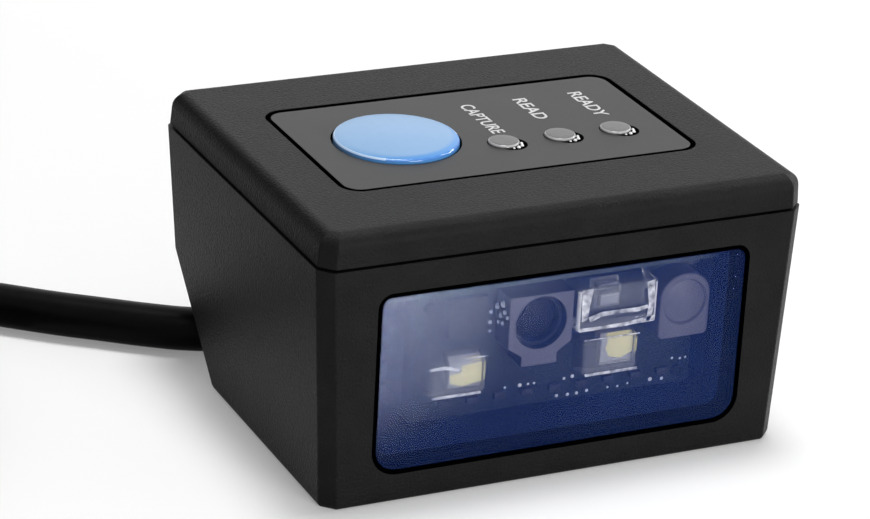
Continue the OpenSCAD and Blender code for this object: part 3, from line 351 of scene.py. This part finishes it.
# Painted highlights lie as pale streaks along the clear lenses' edges, and phosphor films on the front of
# the LEDs
painted_lens_highlight = grained(
    "Painted lens highlight", (0.10, 0.10, 0.12), (0.95, 0.95, 0.96), 1500, 900, 0.2, 0.4, 0.000004,
)
phosphor = grained(
    "LED phosphor", (0.38, 0.34, 0.08), (0.50, 0.45, 0.13), 2600, 900, 0.4, 0.55, 0.00001,
)
left_side = ((0.3, 4.45), (1.55, 4.5), (1.35, 3.35), (1.05, 1.3), (0.45, 1.1))
right_side = ((7.3, 4.4), (8.15, 4.55), (8.35, 2), (7.85, 0.1), (7.5, 0.25), (7.65, 2.1))
bowed_step = (
    (1.15, 1.5), (2.55, 1.9), (4.35, 1.9), (6.55, 1.85), (7.55, 2),
    (7.6, 1.6), (6.6, 1.4), (4.4, 1.5), (2.6, 1.4), (1.4, 0.95),
)
lower_edge = (
    (0.1, 0.45), (2.3, 0.4), (5.2, 0.45), (8.45, 0.8),
    (8.45, 0.35), (5.25, 0.05), (2.35, 0.05), (0.25, 0.05),
)
patches(
    "aiming_painted_highlights", "aiming_lens", 0.01 * MM,
    [("aiming_lens", outline) for outline in (left_side, right_side, bowed_step, lower_edge)],
    painted_lens_highlight,
)
patches(
    "lamp_painted_highlights", "left_illumination_lens", 0.02 * MM,
    (
        ("left_illumination_lens", ((0.4, 0.35), (5.5, 0.3), (5.6, 0.03), (0.5, 0.03))),
        ("left_illumination_lens", (
            (0.05, 3.35), (1.6, 3.45), (3.45, 2.85), (3.3, 2.6), (1.6, 3.1), (0.15, 3.05),
        )),
        ("left_illumination_lens", ((2.95, 3.97), (6.1, 3.97), (6.1, 3.85), (3, 3.85))),
        ("right_illumination_lens", ((0.35, 0.33), (6.1, 0.33), (6.1, 0.03), (0.45, 0.03))),
        ("right_illumination_lens", ((0.1, 3.97), (6.1, 3.97), (6.1, 3.85), (0.1, 3.85))),
    ),
    painted_lens_highlight,
)
patches(
    "phosphor_films", "illumination_leds", 0.05 * MM,
    (
        ("left_illumination_lens", (
            (3.95, 2.65), (6.05, 2.8), (6.05, 0.85), (5.05, 0.7), (4.05, 0.5), (2.85, 0.85), (2.7, 1.8),
            (3.9, 1.85),
        )),
        ("right_illumination_lens", (
            (3.45, 3.25), (6.05, 3.3), (6.05, 1.5), (4.85, 0.9), (3.55, 1.25), (3.1, 2.15),
        )),
    ),
    phosphor,
)

solder = grained(
    "Solder", (0.62, 0.62, 0.64), (0.85, 0.85, 0.86), 4000, 700, 0.2, 0.35, 0.000004,
)


# One solder joint: a small ball at a place, pressed flatter along y by a factor
def add_joint(bm, place, radius, flatness):
    joint = bmesh.ops.create_icosphere(bm, subdivisions=2, radius=radius)
    for vert in joint["verts"]:
        vert.co = Vector(place) + Vector((vert.co.x, vert.co.y * flatness, vert.co.z))


board_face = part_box("engine_board")[0].y
bm = bmesh.new()
for x, z, r in (
    (-4.5, 14.9, 0.2), (-4.54, 13.85, 0.22), (-4.5, 12.9, 0.14), (-10.4, 7.05, 0.14), (-2.5, 6.6, 0.14),
    (-0.9, 6.6, 0.22), (0, 6.6, 0.14), (0.65, 6.6, 0.14), (3.9, 6.6, 0.16), (4.8, 6.7, 0.2),
    (3.2, 4.85, 0.18), (4.4, 4.8, 0.18), (5.4, 4.8, 0.18), (6.5, 4.9, 0.18), (8.8, 4.9, 0.12),
    (9.9, 4.85, 0.12), (11, 5, 0.12), (13.5, 5.05, 0.22), (14.8, 4.95, 0.18),
    (15.8, 7, 0.14), (16.7, 6.85, 0.14), (17.3, 6.9, 0.14),
):
    add_joint(bm, (x * MM, board_face, z * MM), r * MM, 0.5)
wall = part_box("camera_holder")[0].x
for y, z, r in (
    (-13.8, 15.6, 0.3), (-15, 16.3, 0.32), (-14.6, 15, 0.24), (-15.4, 15.6, 0.24), (-14.15, 14.1, 0.18),
    (-15.05, 14.35, 0.22), (-16, 15.3, 0.18),
):
    add_joint(bm, (wall, y * MM, z * MM), r * MM, 1)
joints = piece_from(bm, "solder_joints", solder, "reader", 60)


# Front window.
# A flat plate of blue tinted acrylic, polished, held by a black gasket in the base's recess with a
# narrow dark groove left round it.

window_blue = grained(
    "Blue window acrylic", (0.034, 0.085, 0.40), (0.046, 0.115, 0.47), 300, 60, 0.0, 0.003, 0.0,
    Alpha=0.1, Specular_IOR_Level=0.3,
)
# The plate's edges take painted shade in black
window = eased_moulding(
    "window_plate", "front_window", window_blue, "reader", 0.05 * MM, shade_black,
    lambda c, n: abs(n.y) < 0.5,
)
seal_rubber = grained(
    "Black seal rubber", (0.0010, 0.0010, 0.0010), (0.0025, 0.0025, 0.0025), 4000, 300, 0.7, 0.9, 0.000008,
    Specular_IOR_Level=0.03,
)
finish_with(node["window_gasket"], seal_rubber)


# Main board and what it carries.
# A dark green board hung from the lid's posts by four screws, with the key switch, three LEDs and a buzzer
# on top, and the processor and the sockets for the flat cable and the cable's harness underneath.

solder_mask = grained(
    "Green solder mask", (0.005, 0.012, 0.012), (0.010, 0.022, 0.022), 900, 4200, 0.4, 0.5, 0.000006,
)
led_white = grained(
    "LED package", (0.72, 0.70, 0.64), (0.82, 0.80, 0.75), 3000, 500, 0.3, 0.45, 0.000004,
)
black_part = grained(
    "Black component plastic", (0.012, 0.012, 0.013), (0.022, 0.022, 0.023), 4200, 400, 0.4, 0.55, 0.000005,
)
cream_part = grained(
    "Cream connector plastic", (0.62, 0.56, 0.43), (0.74, 0.68, 0.55), 3500, 300, 0.4, 0.55, 0.000004,
)
wire_red = grained(
    "Red wire jacket", (0.36, 0.022, 0.018), (0.46, 0.032, 0.025), 3000, 400, 0.35, 0.5, 0.000004,
)
flex_film = grained(
    "Flat cable film", (0.66, 0.66, 0.62), (0.76, 0.76, 0.73), 2500, 400, 0.3, 0.45, 0.000002,
)
for solid, material in (
    ("main_board", solder_mask), ("board_screws", black_part), ("main_processor", black_part),
    ("buzzer", black_part), ("cable_header", cream_part), ("harness_plug", cream_part),
    ("harness_wires", wire_red), ("main_flex_socket", cream_part), ("engine_flex_socket", cream_part),
    ("flex_cable", flex_film), ("tact_switch", plated_steel), ("switch_plunger", black_part),
    ("indicator_leds", led_white),
):
    finish_with(node[solid], material)


# Lid.
# The second charcoal moulding: it sits on a thin rubber seal over the base's tongue and is drawn down
# by four screws from below. Its top has a shallow panel sunk into it, whose walls and floor take painted
# shade in black round the overlay.

panel_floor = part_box("panel_overlay")[0].z - 0.05 * MM
panel_half_w, panel_half_d, panel_brim = 20 * MM, 12 * MM, 27.8 * MM
lid = eased_moulding(
    "housing_lid", "top_cover", charcoal, "reader", edge_ease, shade_black,
    lambda c, n: abs(c.x) < panel_half_w and abs(c.y) < panel_half_d and panel_floor < c.z < panel_brim,
)
finish_with(node["cover_seal"], seal_rubber)
finish_with(node["cover_screws"], plated_steel)


# Panel overlay.
# A grey printed polyester plate stuck into the lid's panel, with small white words beside the lights.

overlay_grey = grained(
    "Grey overlay film", (0.046, 0.046, 0.047), (0.054, 0.054, 0.055), 7000, 120, 0.38, 0.5, 0.000003,
    Specular_IOR_Level=0.12,
)
# The plate's sides take painted shade in black
overlay = eased_moulding(
    "overlay_plate", "panel_overlay", overlay_grey, "reader", 0.05 * MM, shade_black,
    lambda c, n: n.z < 0.5,
)
overlay_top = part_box("panel_overlay")[1].z
print_white = grained(
    "White screen print", (0.55, 0.55, 0.55), (0.68, 0.68, 0.68), 5000, 600, 0.5, 0.6, 0.000002,
)


# A word lying on the overlay, its letters' tops towards +X and its line running towards the front
def printed_word(word, x, start, length):
    curve = bpy.data.curves.new("word_" + word, "FONT")
    curve.body = word
    curve.align_x = "LEFT"
    curve.align_y = "CENTER"
    curve.offset = 0.018
    text = bpy.data.objects.new("word_" + word, curve)
    bpy.context.scene.collection.objects.link(text)
    bpy.context.view_layer.update()
    flat = bpy.data.meshes.new_from_object(text)
    bpy.data.objects.remove(text)
    low = Vector([min(v.co[i] for v in flat.vertices) for i in range(3)])
    high = Vector([max(v.co[i] for v in flat.vertices) for i in range(3)])
    size = high - low
    cap_height = 1.45 * MM
    flat.transform(Matrix.Translation(-Vector((low.x, (low.y + high.y) / 2, 0))))
    flat.transform(Matrix.Diagonal((length / size.x, cap_height / size.y, 1, 1)))
    flat.transform(Matrix.Rotation(math.radians(-90), 4, "Z"))
    flat.transform(Matrix.Translation((x, start, overlay_top + 0.01 * MM)))
    piece = bpy.data.objects.new("print_" + word.lower(), flat)
    bpy.context.scene.collection.objects.link(piece)
    finish_with(piece, print_white)
    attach(piece, "reader")


word_start = 6.85 * MM
printed_word("CAPTURE", 1.54 * MM, word_start, 7.9 * MM)
printed_word("READ", 7.43 * MM, word_start, 5.7 * MM)
printed_word("READY", 13.58 * MM, word_start, 6.7 * MM)


# Push button and light guides.
# The button is a glossy pale blue cap, moulded with a flange that keeps it under the lid; painted shade
# deepens its side and front-right, and a painted highlight lightens the rest of its rim. The light
# guides are short rods of smoky polycarbonate with a polished rim lightened by a painted highlight, pushed
# up through the lid from inside; a black disc of painted shadow and small bright spheres of painted
# highlight show on one side of each.

# A turned shape: a profile of (radius, height) points spun round an upright axis
def turned(name, profile, centre, materials, body, steps, chosen):
    bm = bmesh.new()
    ring = [bm.verts.new((centre[0] + r, centre[1], z)) for r, z in profile]
    edges = [bm.edges.new(pair) for pair in zip(ring, ring[1:])]
    bmesh.ops.spin(
        bm, geom=ring + edges, cent=(centre[0], centre[1], 0), axis=(0, 0, 1), angle=math.tau,
        steps=steps, use_merge=True, use_duplicate=False,
    )
    bmesh.ops.remove_doubles(bm, verts=bm.verts, dist=1e-7)
    bmesh.ops.recalc_face_normals(bm, faces=bm.faces)
    for face in bm.faces:
        face.material_index = int(chosen(face.calc_center_median(), face.normal))
    piece = piece_from(bm, name, materials[0], body, 35)
    for material in materials[1:]:
        piece.data.materials.append(material)
    return piece


# Points of a quarter round from a side up to a top, as (radius, height)
def rounded_rim(r, top, rim, steps=6):
    return [
        (r - rim + rim * math.cos(a), top - rim + rim * math.sin(a))
        for a in [math.pi / 2 * k / steps for k in range(steps + 1)]
    ]


button_blue = grained(
    "Pale blue button plastic", (0.195, 0.375, 0.63), (0.215, 0.395, 0.66), 1200, 150, 0.16, 0.24, 0.000002,
    Specular_IOR_Level=0.25,
)
# Painted highlight: a lighter blue for the cap's rim
button_rim_highlight = grained(
    "Painted button rim highlight", (0.46, 0.63, 0.85), (0.52, 0.68, 0.90), 1200, 150, 0.16, 0.24, 0.000002,
    Specular_IOR_Level=0.25,
)
# Painted shade: a deep blue for the cap's side and front-right rim
button_painted_shade = grained(
    "Painted shade on button side", (0.045, 0.20, 0.60), (0.07, 0.26, 0.68), 1200, 150, 0.05, 0.08, 0.000001,
)
low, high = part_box("trigger_button")
button_at = ((low.x + high.x) / 2, (low.y + high.y) / 2)
cap_r = 6.15 * MM
flange_r, flange_low, flange_high = 7.15 * MM, low.z + 0.8 * MM, low.z + 1.7 * MM
stem_r = 2.1 * MM

# Painted shade: the top darkens to a deeper blue crescent on its front-right side
n, link = button_blue.node_tree.nodes, button_blue.node_tree.links.new
shader = n["Principled BSDF"]
pale = shader.inputs["Base Color"].links[0].from_socket
place = n.new("ShaderNodeTexCoord")
level = n.new("ShaderNodeVectorMath")
level.operation = "MULTIPLY"
level.inputs[1].default_value = (1, 1, 0)
link(place.outputs["Object"], level.inputs[0])
away = n.new("ShaderNodeVectorMath")
away.operation = "DISTANCE"
away.inputs[1].default_value = (button_at[0] - 0.32 * MM, button_at[1] + 0.70 * MM, 0)
link(level.outputs["Vector"], away.inputs[0])
shade_crescent = n.new("ShaderNodeMapRange")
shade_crescent.inputs["From Min"].default_value = cap_r - 0.35 * MM
shade_crescent.inputs["From Max"].default_value = cap_r + 0.25 * MM
link(away.outputs["Value"], shade_crescent.inputs["Value"])
tint = n.new("ShaderNodeMix")
tint.data_type = "RGBA"
tint.inputs["B"].default_value = (0.09, 0.30, 0.68, 1)
link(shade_crescent.outputs["Result"], tint.inputs["Factor"])
link(pale, tint.inputs["A"])
link(tint.outputs["Result"], shader.inputs["Base Color"])
dome = 0.35 * MM
rim = 0.25 * MM
cap_edge = high.z - dome
dome_r = (cap_r ** 2 + dome ** 2) / (2 * dome)
cap_profile = [(0, low.z), (stem_r, low.z), (stem_r, flange_low), (flange_r, flange_low)]
cap_profile += [(flange_r, flange_high), (cap_r, flange_high)]
cap_profile += rounded_rim(cap_r, cap_edge, rim)
cap_profile += [
    (r, high.z - dome_r + math.sqrt(dome_r ** 2 - r ** 2))
    for r in [(cap_r - rim - 0.15 * MM) * (1 - k / 8) for k in range(9)]
]


# Painted light on the cap: its side, and its rim on the crescent's side, take painted shade in deep blue;
# else the rim takes a painted highlight
def cap_painted_light(c, n):
    if n.z > 0.93 or c.z < overlay_top - 0.5 * MM:
        return 0
    around = math.degrees(math.atan2(c.y - button_at[1], c.x - button_at[0]))
    return 2 if n.z < 0.35 or -125 < around < -10 else 1


cap_materials = (button_blue, button_rim_highlight, button_painted_shade)
button = turned("button_cap", cap_profile, button_at, cap_materials, "button", 96, cap_painted_light)
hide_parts("trigger_button")

guide_grey = grained(
    "Smoky polycarbonate", (0.12, 0.12, 0.123), (0.15, 0.15, 0.153), 2500, 400, 0.16, 0.24, 0.000002,
    Specular_IOR_Level=0.15,
)
# Painted highlight: the guides' rim and side above the overlay are a lighter grey than the top
guide_rim_highlight = grained(
    "Painted guide rim highlight", (0.34, 0.34, 0.345), (0.42, 0.42, 0.425), 2500, 400, 0.06, 0.1, 0.000002,
)
# Painted highlight: near-white for small spheres beside each guide
bead_highlight = grained(
    "Painted guide highlight bead", (0.75, 0.75, 0.76), (0.9, 0.9, 0.9), 2500, 400, 0.06, 0.12, 0.000002,
)
rod_r, head_r, guide_flange_r = 1.45 * MM, 1.55 * MM, 2.1 * MM
under = 25.95 * MM
flange_foot = under - 1.2 * MM
for name, solid in (
    ("scan_light_guide", "scan_light_pipe"),
    ("read_light_guide", "read_light_pipe"),
    ("power_light_guide", "power_light_pipe"),
):
    low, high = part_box(solid)
    centre = ((low.x + high.x) / 2, (low.y + high.y) / 2)
    profile = [(0, low.z), (rod_r, low.z), (rod_r, flange_foot), (guide_flange_r, flange_foot)]
    profile += [(guide_flange_r, under), (head_r, under)]
    profile += rounded_rim(head_r, high.z - 0.02 * MM, 0.18 * MM)
    profile += [(0.8 * MM, high.z - 0.01 * MM), (0, high.z)]
    guide = turned(
        name, profile, centre, (guide_grey, guide_rim_highlight), "reader", 48,
        lambda c, n: c.z > overlay_top and n.z < 0.99,
    )
    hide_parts(solid)
    # A black disc of painted shadow lies on the overlay, off to the head's front-right
    bm = bmesh.new()
    shadow_disc_at = Vector((centre[0] + 0.62 * MM, centre[1] - 0.56 * MM, overlay_top + 0.012 * MM))
    bmesh.ops.create_circle(
        bm, cap_ends=True, segments=40, radius=head_r, matrix=Matrix.Translation(shadow_disc_at),
    )
    shadow_disc = piece_from(bm, name + "_painted_shadow", shade_black, "reader")
    # Small bright spheres of painted highlight sit by the head's front-right
    bm = bmesh.new()
    for x, y, r in ((1.55, -0.75, 0.17), (1.35, -1.3, 0.2), (0.85, -1.62, 0.2), (0.3, -1.7, 0.13)):
        bead = bmesh.ops.create_icosphere(bm, subdivisions=2, radius=r * MM)
        for vert in bead["verts"]:
            vert.co = Vector((centre[0] + x * MM, centre[1] + y * MM, overlay_top)) + vert.co
    highlight_beads = piece_from(bm, name + "_highlight_beads", bead_highlight, "reader", 60)


# Cable.
# A black PVC lead, 4.5 mm thick, held by a rubber grommet in the slanted foot. It lies along the
# surface to a coil put away with a strap, and ends in a moulded plug with a folded steel shell.

cable_black = grained(
    "Black cable jacket", (0.0008, 0.0008, 0.0008), (0.0016, 0.0016, 0.0016), 1500, 200, 0.32, 0.42,
    0.000004, Specular_IOR_Level=0.04,
)
# The lead's route in mm, straight out of the foot and then along the surface to the coil
lay, tie_t = 2.25, 0.4
route = [
    (9.1, 5.5, 6), (9.1, 9, 6), (9.1, 12, 6), (9.1, 16.2, 6), (8.6, 19.2, 5.7), (7.3, 21.9, 5.1),
    (5.2, 24, 4.3), (2.6, 25.4, 3.5), (-0.4, 26, 2.8), (-3.4, 25.6, 2.4), (-6.3, 24.3, lay),
    (-8.7, 22.3, lay),
    (-11.2, 19.9, lay), (-13.8, 17.9, lay), (-16.8, 16.8, lay), (-19.9, 16.7, lay), (-22.8, 17.6, lay),
    (-26.5, 19.8, lay), (-30.7, 22.8, lay), (-34.2, 25.3, lay), (-39.2, 29.3, lay), (-46.3, 35, lay),
    (-54.1, 41.2, lay + tie_t / 2), (-62.3, 47.2, lay + tie_t),
]
coil_x, coil_y, coil_in, coil_pitch, turns, per_turn = -84, 19.5, 16.8, 4.6, 4, 24
low_z, high_z = lay + tie_t, lay + tie_t + 4.5
start_angle = 52
climb = 8

# Two layers of turns: inwards along the surface, then up and outwards on top
for k in range(turns * per_turn * 2 + 1):
    down = k <= turns * per_turn
    step = k if down else k - turns * per_turn
    radius = coil_in + coil_pitch * (turns - step / per_turn if down else step / per_turn)
    up = 0 if down else min(1, step / climb)
    z = low_z + (high_z - low_z) * (3 * up ** 2 - 2 * up ** 3)
    a = math.radians(start_angle + 360 * k / per_turn)
    route.append((coil_x + radius * math.cos(a), coil_y + radius * math.sin(a), z))
route += [
    (-68.5, 51.2, 7.6), (-75.5, 53.6, 8.9), (-83, 54.2, 10.6), (-90.5, 52.6, 12.2), (-97, 48.8, 13.2),
    (-101.6, 43.4, 13.4), (-103.6, 39, 13.4), (-104, 36, 13.4), (-104, 32, 13.4),
]
curve = bpy.data.curves.new("lead", "CURVE")
curve.dimensions = "3D"
curve.bevel_depth = lay * MM
curve.bevel_resolution = 6
curve.resolution_u = 4
curve.use_fill_caps = True
spline = curve.splines.new("BEZIER")
spline.bezier_points.add(len(route) - 1)
for knot, place in zip(spline.bezier_points, route):
    knot.co = Vector(place) * MM
    knot.handle_left_type = knot.handle_right_type = "AUTO"
lead = bpy.data.objects.new("lead", curve)
bpy.context.scene.collection.objects.link(lead)
curve.materials.append(cable_black)
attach(lead, "reader")
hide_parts("cable", "cable_coil", "cable_tail")

grip_rubber = grained(
    "Black grip rubber", (0.009, 0.009, 0.009), (0.015, 0.015, 0.015), 3500, 200, 0.5, 0.68, 0.00001,
)
strap_black = grained(
    "Black strap weave", (0.006, 0.006, 0.006), (0.016, 0.016, 0.016), 5200, 300, 0.75, 0.9, 0.00003,
)
plug_white = grained(
    "White plug plastic", (0.72, 0.72, 0.72), (0.80, 0.80, 0.80), 3000, 300, 0.35, 0.5, 0.000003,
)
contact_gold = grained(
    "Gold contact plating", (0.72, 0.48, 0.16), (0.84, 0.60, 0.24), 5000, 500, 0.18, 0.3, 0.000002,
    Metallic=1.0,
)
for solid, material in (
    ("cable_grommet", grip_rubber), ("cable_tie", strap_black), ("plug_tongue", plug_white),
    ("plug_contacts", contact_gold),
):
    finish_with(node[solid], material)
grip = eased_moulding("plug_body", "plug_grip", grip_rubber, "reader", 0.2 * MM)
shell = eased_moulding("plug_sleeve", "plug_shell", plated_steel, "reader", 0.08 * MM)


# Studio.
# A plain white table under soft light: softboxes overhead, in front, behind and to the right, and a few
# flat cards that show in reflections. The camera is a long lens, a little above the reader and to its left.

# One for rays that show the surround: straight to the camera, in a gloss or through clear plastic
def surround_mask(n, link):
    path = n.new("ShaderNodeLightPath")
    seen = n.new("ShaderNodeMath")
    seen.operation = "MAXIMUM"
    also = n.new("ShaderNodeMath")
    also.operation = "MAXIMUM"
    link(path.outputs["Is Glossy Ray"], also.inputs[0])
    link(path.outputs["Is Transmission Ray"], also.inputs[1])
    link(path.outputs["Is Camera Ray"], seen.inputs[0])
    link(also.outputs[0], seen.inputs[1])
    return seen.outputs[0]


bm = bmesh.new()
bmesh.ops.create_grid(bm, x_segments=1, y_segments=1, size=3)
floor_mesh = bpy.data.meshes.new("floor")
bm.to_mesh(floor_mesh)
bm.free()
floor = bpy.data.objects.new("floor", floor_mesh)
bpy.context.scene.collection.objects.link(floor)
table = bpy.data.materials.new("White table")
table.use_nodes = True
n, link = table.node_tree.nodes, table.node_tree.links.new
shader = n["Principled BSDF"]
shader.inputs["Base Color"].default_value = (0.8, 0.8, 0.8, 1)
shader.inputs["Roughness"].default_value = 0.9
shader.inputs["Specular IOR Level"].default_value = 0.1
shader.inputs["Emission Color"].default_value = (1, 1, 1, 1)
glow = n.new("ShaderNodeMath")
glow.operation = "MULTIPLY"
glow.inputs[1].default_value = 0.2
link(surround_mask(n, link), glow.inputs[0])
link(glow.outputs[0], shader.inputs["Emission Strength"])
behind = n.new("ShaderNodeNewGeometry")
clear_side = n.new("ShaderNodeBsdfTransparent")
one_sided = n.new("ShaderNodeMixShader")
link(behind.outputs["Backfacing"], one_sided.inputs["Fac"])
link(shader.outputs["BSDF"], one_sided.inputs[1])
link(clear_side.outputs["BSDF"], one_sided.inputs[2])
link(one_sided.outputs["Shader"], n["Material Output"].inputs["Surface"])
floor_mesh.materials.append(table)

world = bpy.data.worlds.new("Studio")
bpy.context.scene.world = world
world.use_nodes = True
n, link = world.node_tree.nodes, world.node_tree.links.new
sky = n["Background"]
sky.inputs["Color"].default_value = (1, 1, 1, 1)
level = n.new("ShaderNodeMapRange")
level.inputs["To Min"].default_value = 0.3
level.inputs["To Max"].default_value = 1
link(surround_mask(n, link), level.inputs["Value"])
link(level.outputs["Result"], sky.inputs["Strength"])


def softbox(name, place, aim, width, height, watts):
    lamp = bpy.data.lights.new(name, "AREA")
    lamp.shape = "RECTANGLE"
    lamp.size, lamp.size_y = width, height
    lamp.energy = watts
    box = bpy.data.objects.new(name, lamp)
    box.location = place
    box.rotation_euler = (Vector(aim) - Vector(place)).to_track_quat("-Z", "Y").to_euler()
    box.visible_camera = False
    bpy.context.scene.collection.objects.link(box)


middle = (0, 0, 0.012)
softbox("top_softbox", (0.05, 0.07, 0.7), middle, 0.2, 0.2, 3.2)
softbox("front_softbox", (0.12, -0.62, 0.10), middle, 0.25, 0.2, 2.6)
softbox("right_softbox", (0.5, -0.05, 0.13), middle, 0.08, 0.08, 0.4)
softbox("back_softbox", (0.4, 0.8, 0.42), middle, 0.6, 0.4, 0.45)


# A flat studio card from a corner and its two sides, out of the picture and lighting nothing by itself
def stage_card(name, corner, along, up):
    corner, along, up = Vector(corner), Vector(along), Vector(up)
    bm = bmesh.new()
    outline = (corner, corner + along, corner + along + up, corner + up)
    bm.faces.new([bm.verts.new(place) for place in outline])
    mesh = bpy.data.meshes.new(name)
    bm.to_mesh(mesh)
    bm.free()
    card = bpy.data.objects.new(name, mesh)
    bpy.context.scene.collection.objects.link(card)
    card.visible_camera = False
    card.visible_diffuse = False
    card.visible_shadow = False
    return card


# A lit card lying before the reader, that shows only in the polished window and makes its haze
window_card = stage_card("window_card", (-0.06, -0.08, 0.0005), (0.09, 0, 0), (0, 0.053, 0))
card_paint = bpy.data.materials.new("Lit card")
card_paint.use_nodes = True
n, link = card_paint.node_tree.nodes, card_paint.node_tree.links.new
n.remove(n["Principled BSDF"])
place = n.new("ShaderNodeTexCoord")
axes = n.new("ShaderNodeSeparateXYZ")
link(place.outputs["Object"], axes.inputs["Vector"])
slant = n.new("ShaderNodeMath")
slant.operation = "ADD"
link(axes.outputs["X"], slant.inputs[0])
link(axes.outputs["Y"], slant.inputs[1])
across = n.new("ShaderNodeMapRange")
across.inputs["From Min"].default_value = -0.035
across.inputs["From Max"].default_value = -0.057
link(slant.outputs[0], across.inputs["Value"])
soft = n.new("ShaderNodeMath")
soft.operation = "POWER"
soft.inputs[1].default_value = 1.3
link(across.outputs["Result"], soft.inputs[0])
near = n.new("ShaderNodeMapRange")
near.inputs["From Min"].default_value = -0.026
near.inputs["From Max"].default_value = -0.038
link(axes.outputs["Y"], near.inputs["Value"])
mottle = n.new("ShaderNodeTexNoise")
mottle.inputs["Scale"].default_value = 1400
link(place.outputs["Object"], mottle.inputs["Vector"])
uneven = n.new("ShaderNodeMapRange")
uneven.inputs["From Min"].default_value = 0.3
uneven.inputs["From Max"].default_value = 0.7
uneven.inputs["To Min"].default_value = 0.85
uneven.inputs["To Max"].default_value = 1.15
link(mottle.outputs["Fac"], uneven.inputs["Value"])
edge = n.new("ShaderNodeMath")
edge.operation = "MULTIPLY"
link(soft.outputs[0], edge.inputs[0])
link(near.outputs["Result"], edge.inputs[1])
fade = n.new("ShaderNodeMath")
fade.operation = "MULTIPLY"
link(edge.outputs[0], fade.inputs[0])
link(uneven.outputs["Result"], fade.inputs[1])
path = n.new("ShaderNodeLightPath")
only = n.new("ShaderNodeMath")
only.operation = "MULTIPLY"
link(fade.outputs[0], only.inputs[0])
link(path.outputs["Is Singular Ray"], only.inputs[1])
level = n.new("ShaderNodeMath")
level.operation = "MULTIPLY"
level.inputs[1].default_value = 53
link(only.outputs[0], level.inputs[0])
lit = n.new("ShaderNodeEmission")
lit.inputs["Color"].default_value = (0.75, 0.83, 1, 1)
link(level.outputs[0], lit.inputs["Strength"])
through = n.new("ShaderNodeBsdfTransparent")
both = n.new("ShaderNodeAddShader")
link(lit.outputs["Emission"], both.inputs[0])
link(through.outputs["BSDF"], both.inputs[1])
link(both.outputs["Shader"], n["Material Output"].inputs["Surface"])
window_card.data.materials.append(card_paint)


# A card that shows only in a gloss
def gloss_card(name, corner, along, up, strength):
    card = stage_card(name, corner, along, up)
    card.visible_transmission = False
    paint = bpy.data.materials.new(name)
    paint.use_nodes = True
    shader = paint.node_tree.nodes["Principled BSDF"]
    shader.inputs["Base Color"].default_value = (0, 0, 0, 1)
    shader.inputs["Specular IOR Level"].default_value = 0
    shader.inputs["Emission Color"].default_value = (1, 1, 1, 1)
    shader.inputs["Emission Strength"].default_value = strength
    card.data.materials.append(paint)


# A dark flag behind darkens the lid's rounded left edge, and a grey sheet the upper part of the left side;
# the lit cards brighten the lid's front edge and glint on the button's rim
gloss_card("dark_flag", (-0.75, 0.8, 0.02), (0.75, 0, 0), (0, 0, 0.63), 0)
gloss_card("grey_sheet", (-0.1, -0.01, 0.0004), (0.062, 0, 0), (0, 0.16, 0), 0.3)
gloss_card("edge_card", (-0.07, -0.05, 0.1), (0.08, 0, 0), (0, 0.035, 0), 4)
gloss_card("near_glint", (0.28, -0.05, 0.2), (0, 0.05, 0), (0, 0, 0.06), 32)
gloss_card("far_glint", (0.27, 0.03, 0.13), (0, 0.05, 0), (0, 0, 0.05), 40)

# The camera's place and directions, fitted to the photograph
lens_mm = 144.824
camera_data = bpy.data.cameras.new("camera")
camera_data.sensor_fit = "HORIZONTAL"
camera_data.sensor_width = 36
camera_data.lens = lens_mm
camera_data.clip_start = 0.01
camera = bpy.data.objects.new("camera", camera_data)
right = Vector((0.9066, -0.41894, 0.05064))
down = Vector((-0.12467, -0.38055, -0.91632))
ahead = Vector((0.40315, 0.82442, -0.39723))
turn = Matrix((right, -down, -ahead)).transposed()
camera_at = (-0.143164, -0.284211, 0.151681)
camera.matrix_world = Matrix.Translation(camera_at) @ turn.to_4x4()
bpy.context.scene.collection.objects.link(camera)
bpy.context.scene.camera = camera
bpy.context.scene.view_settings.view_transform = "Standard"
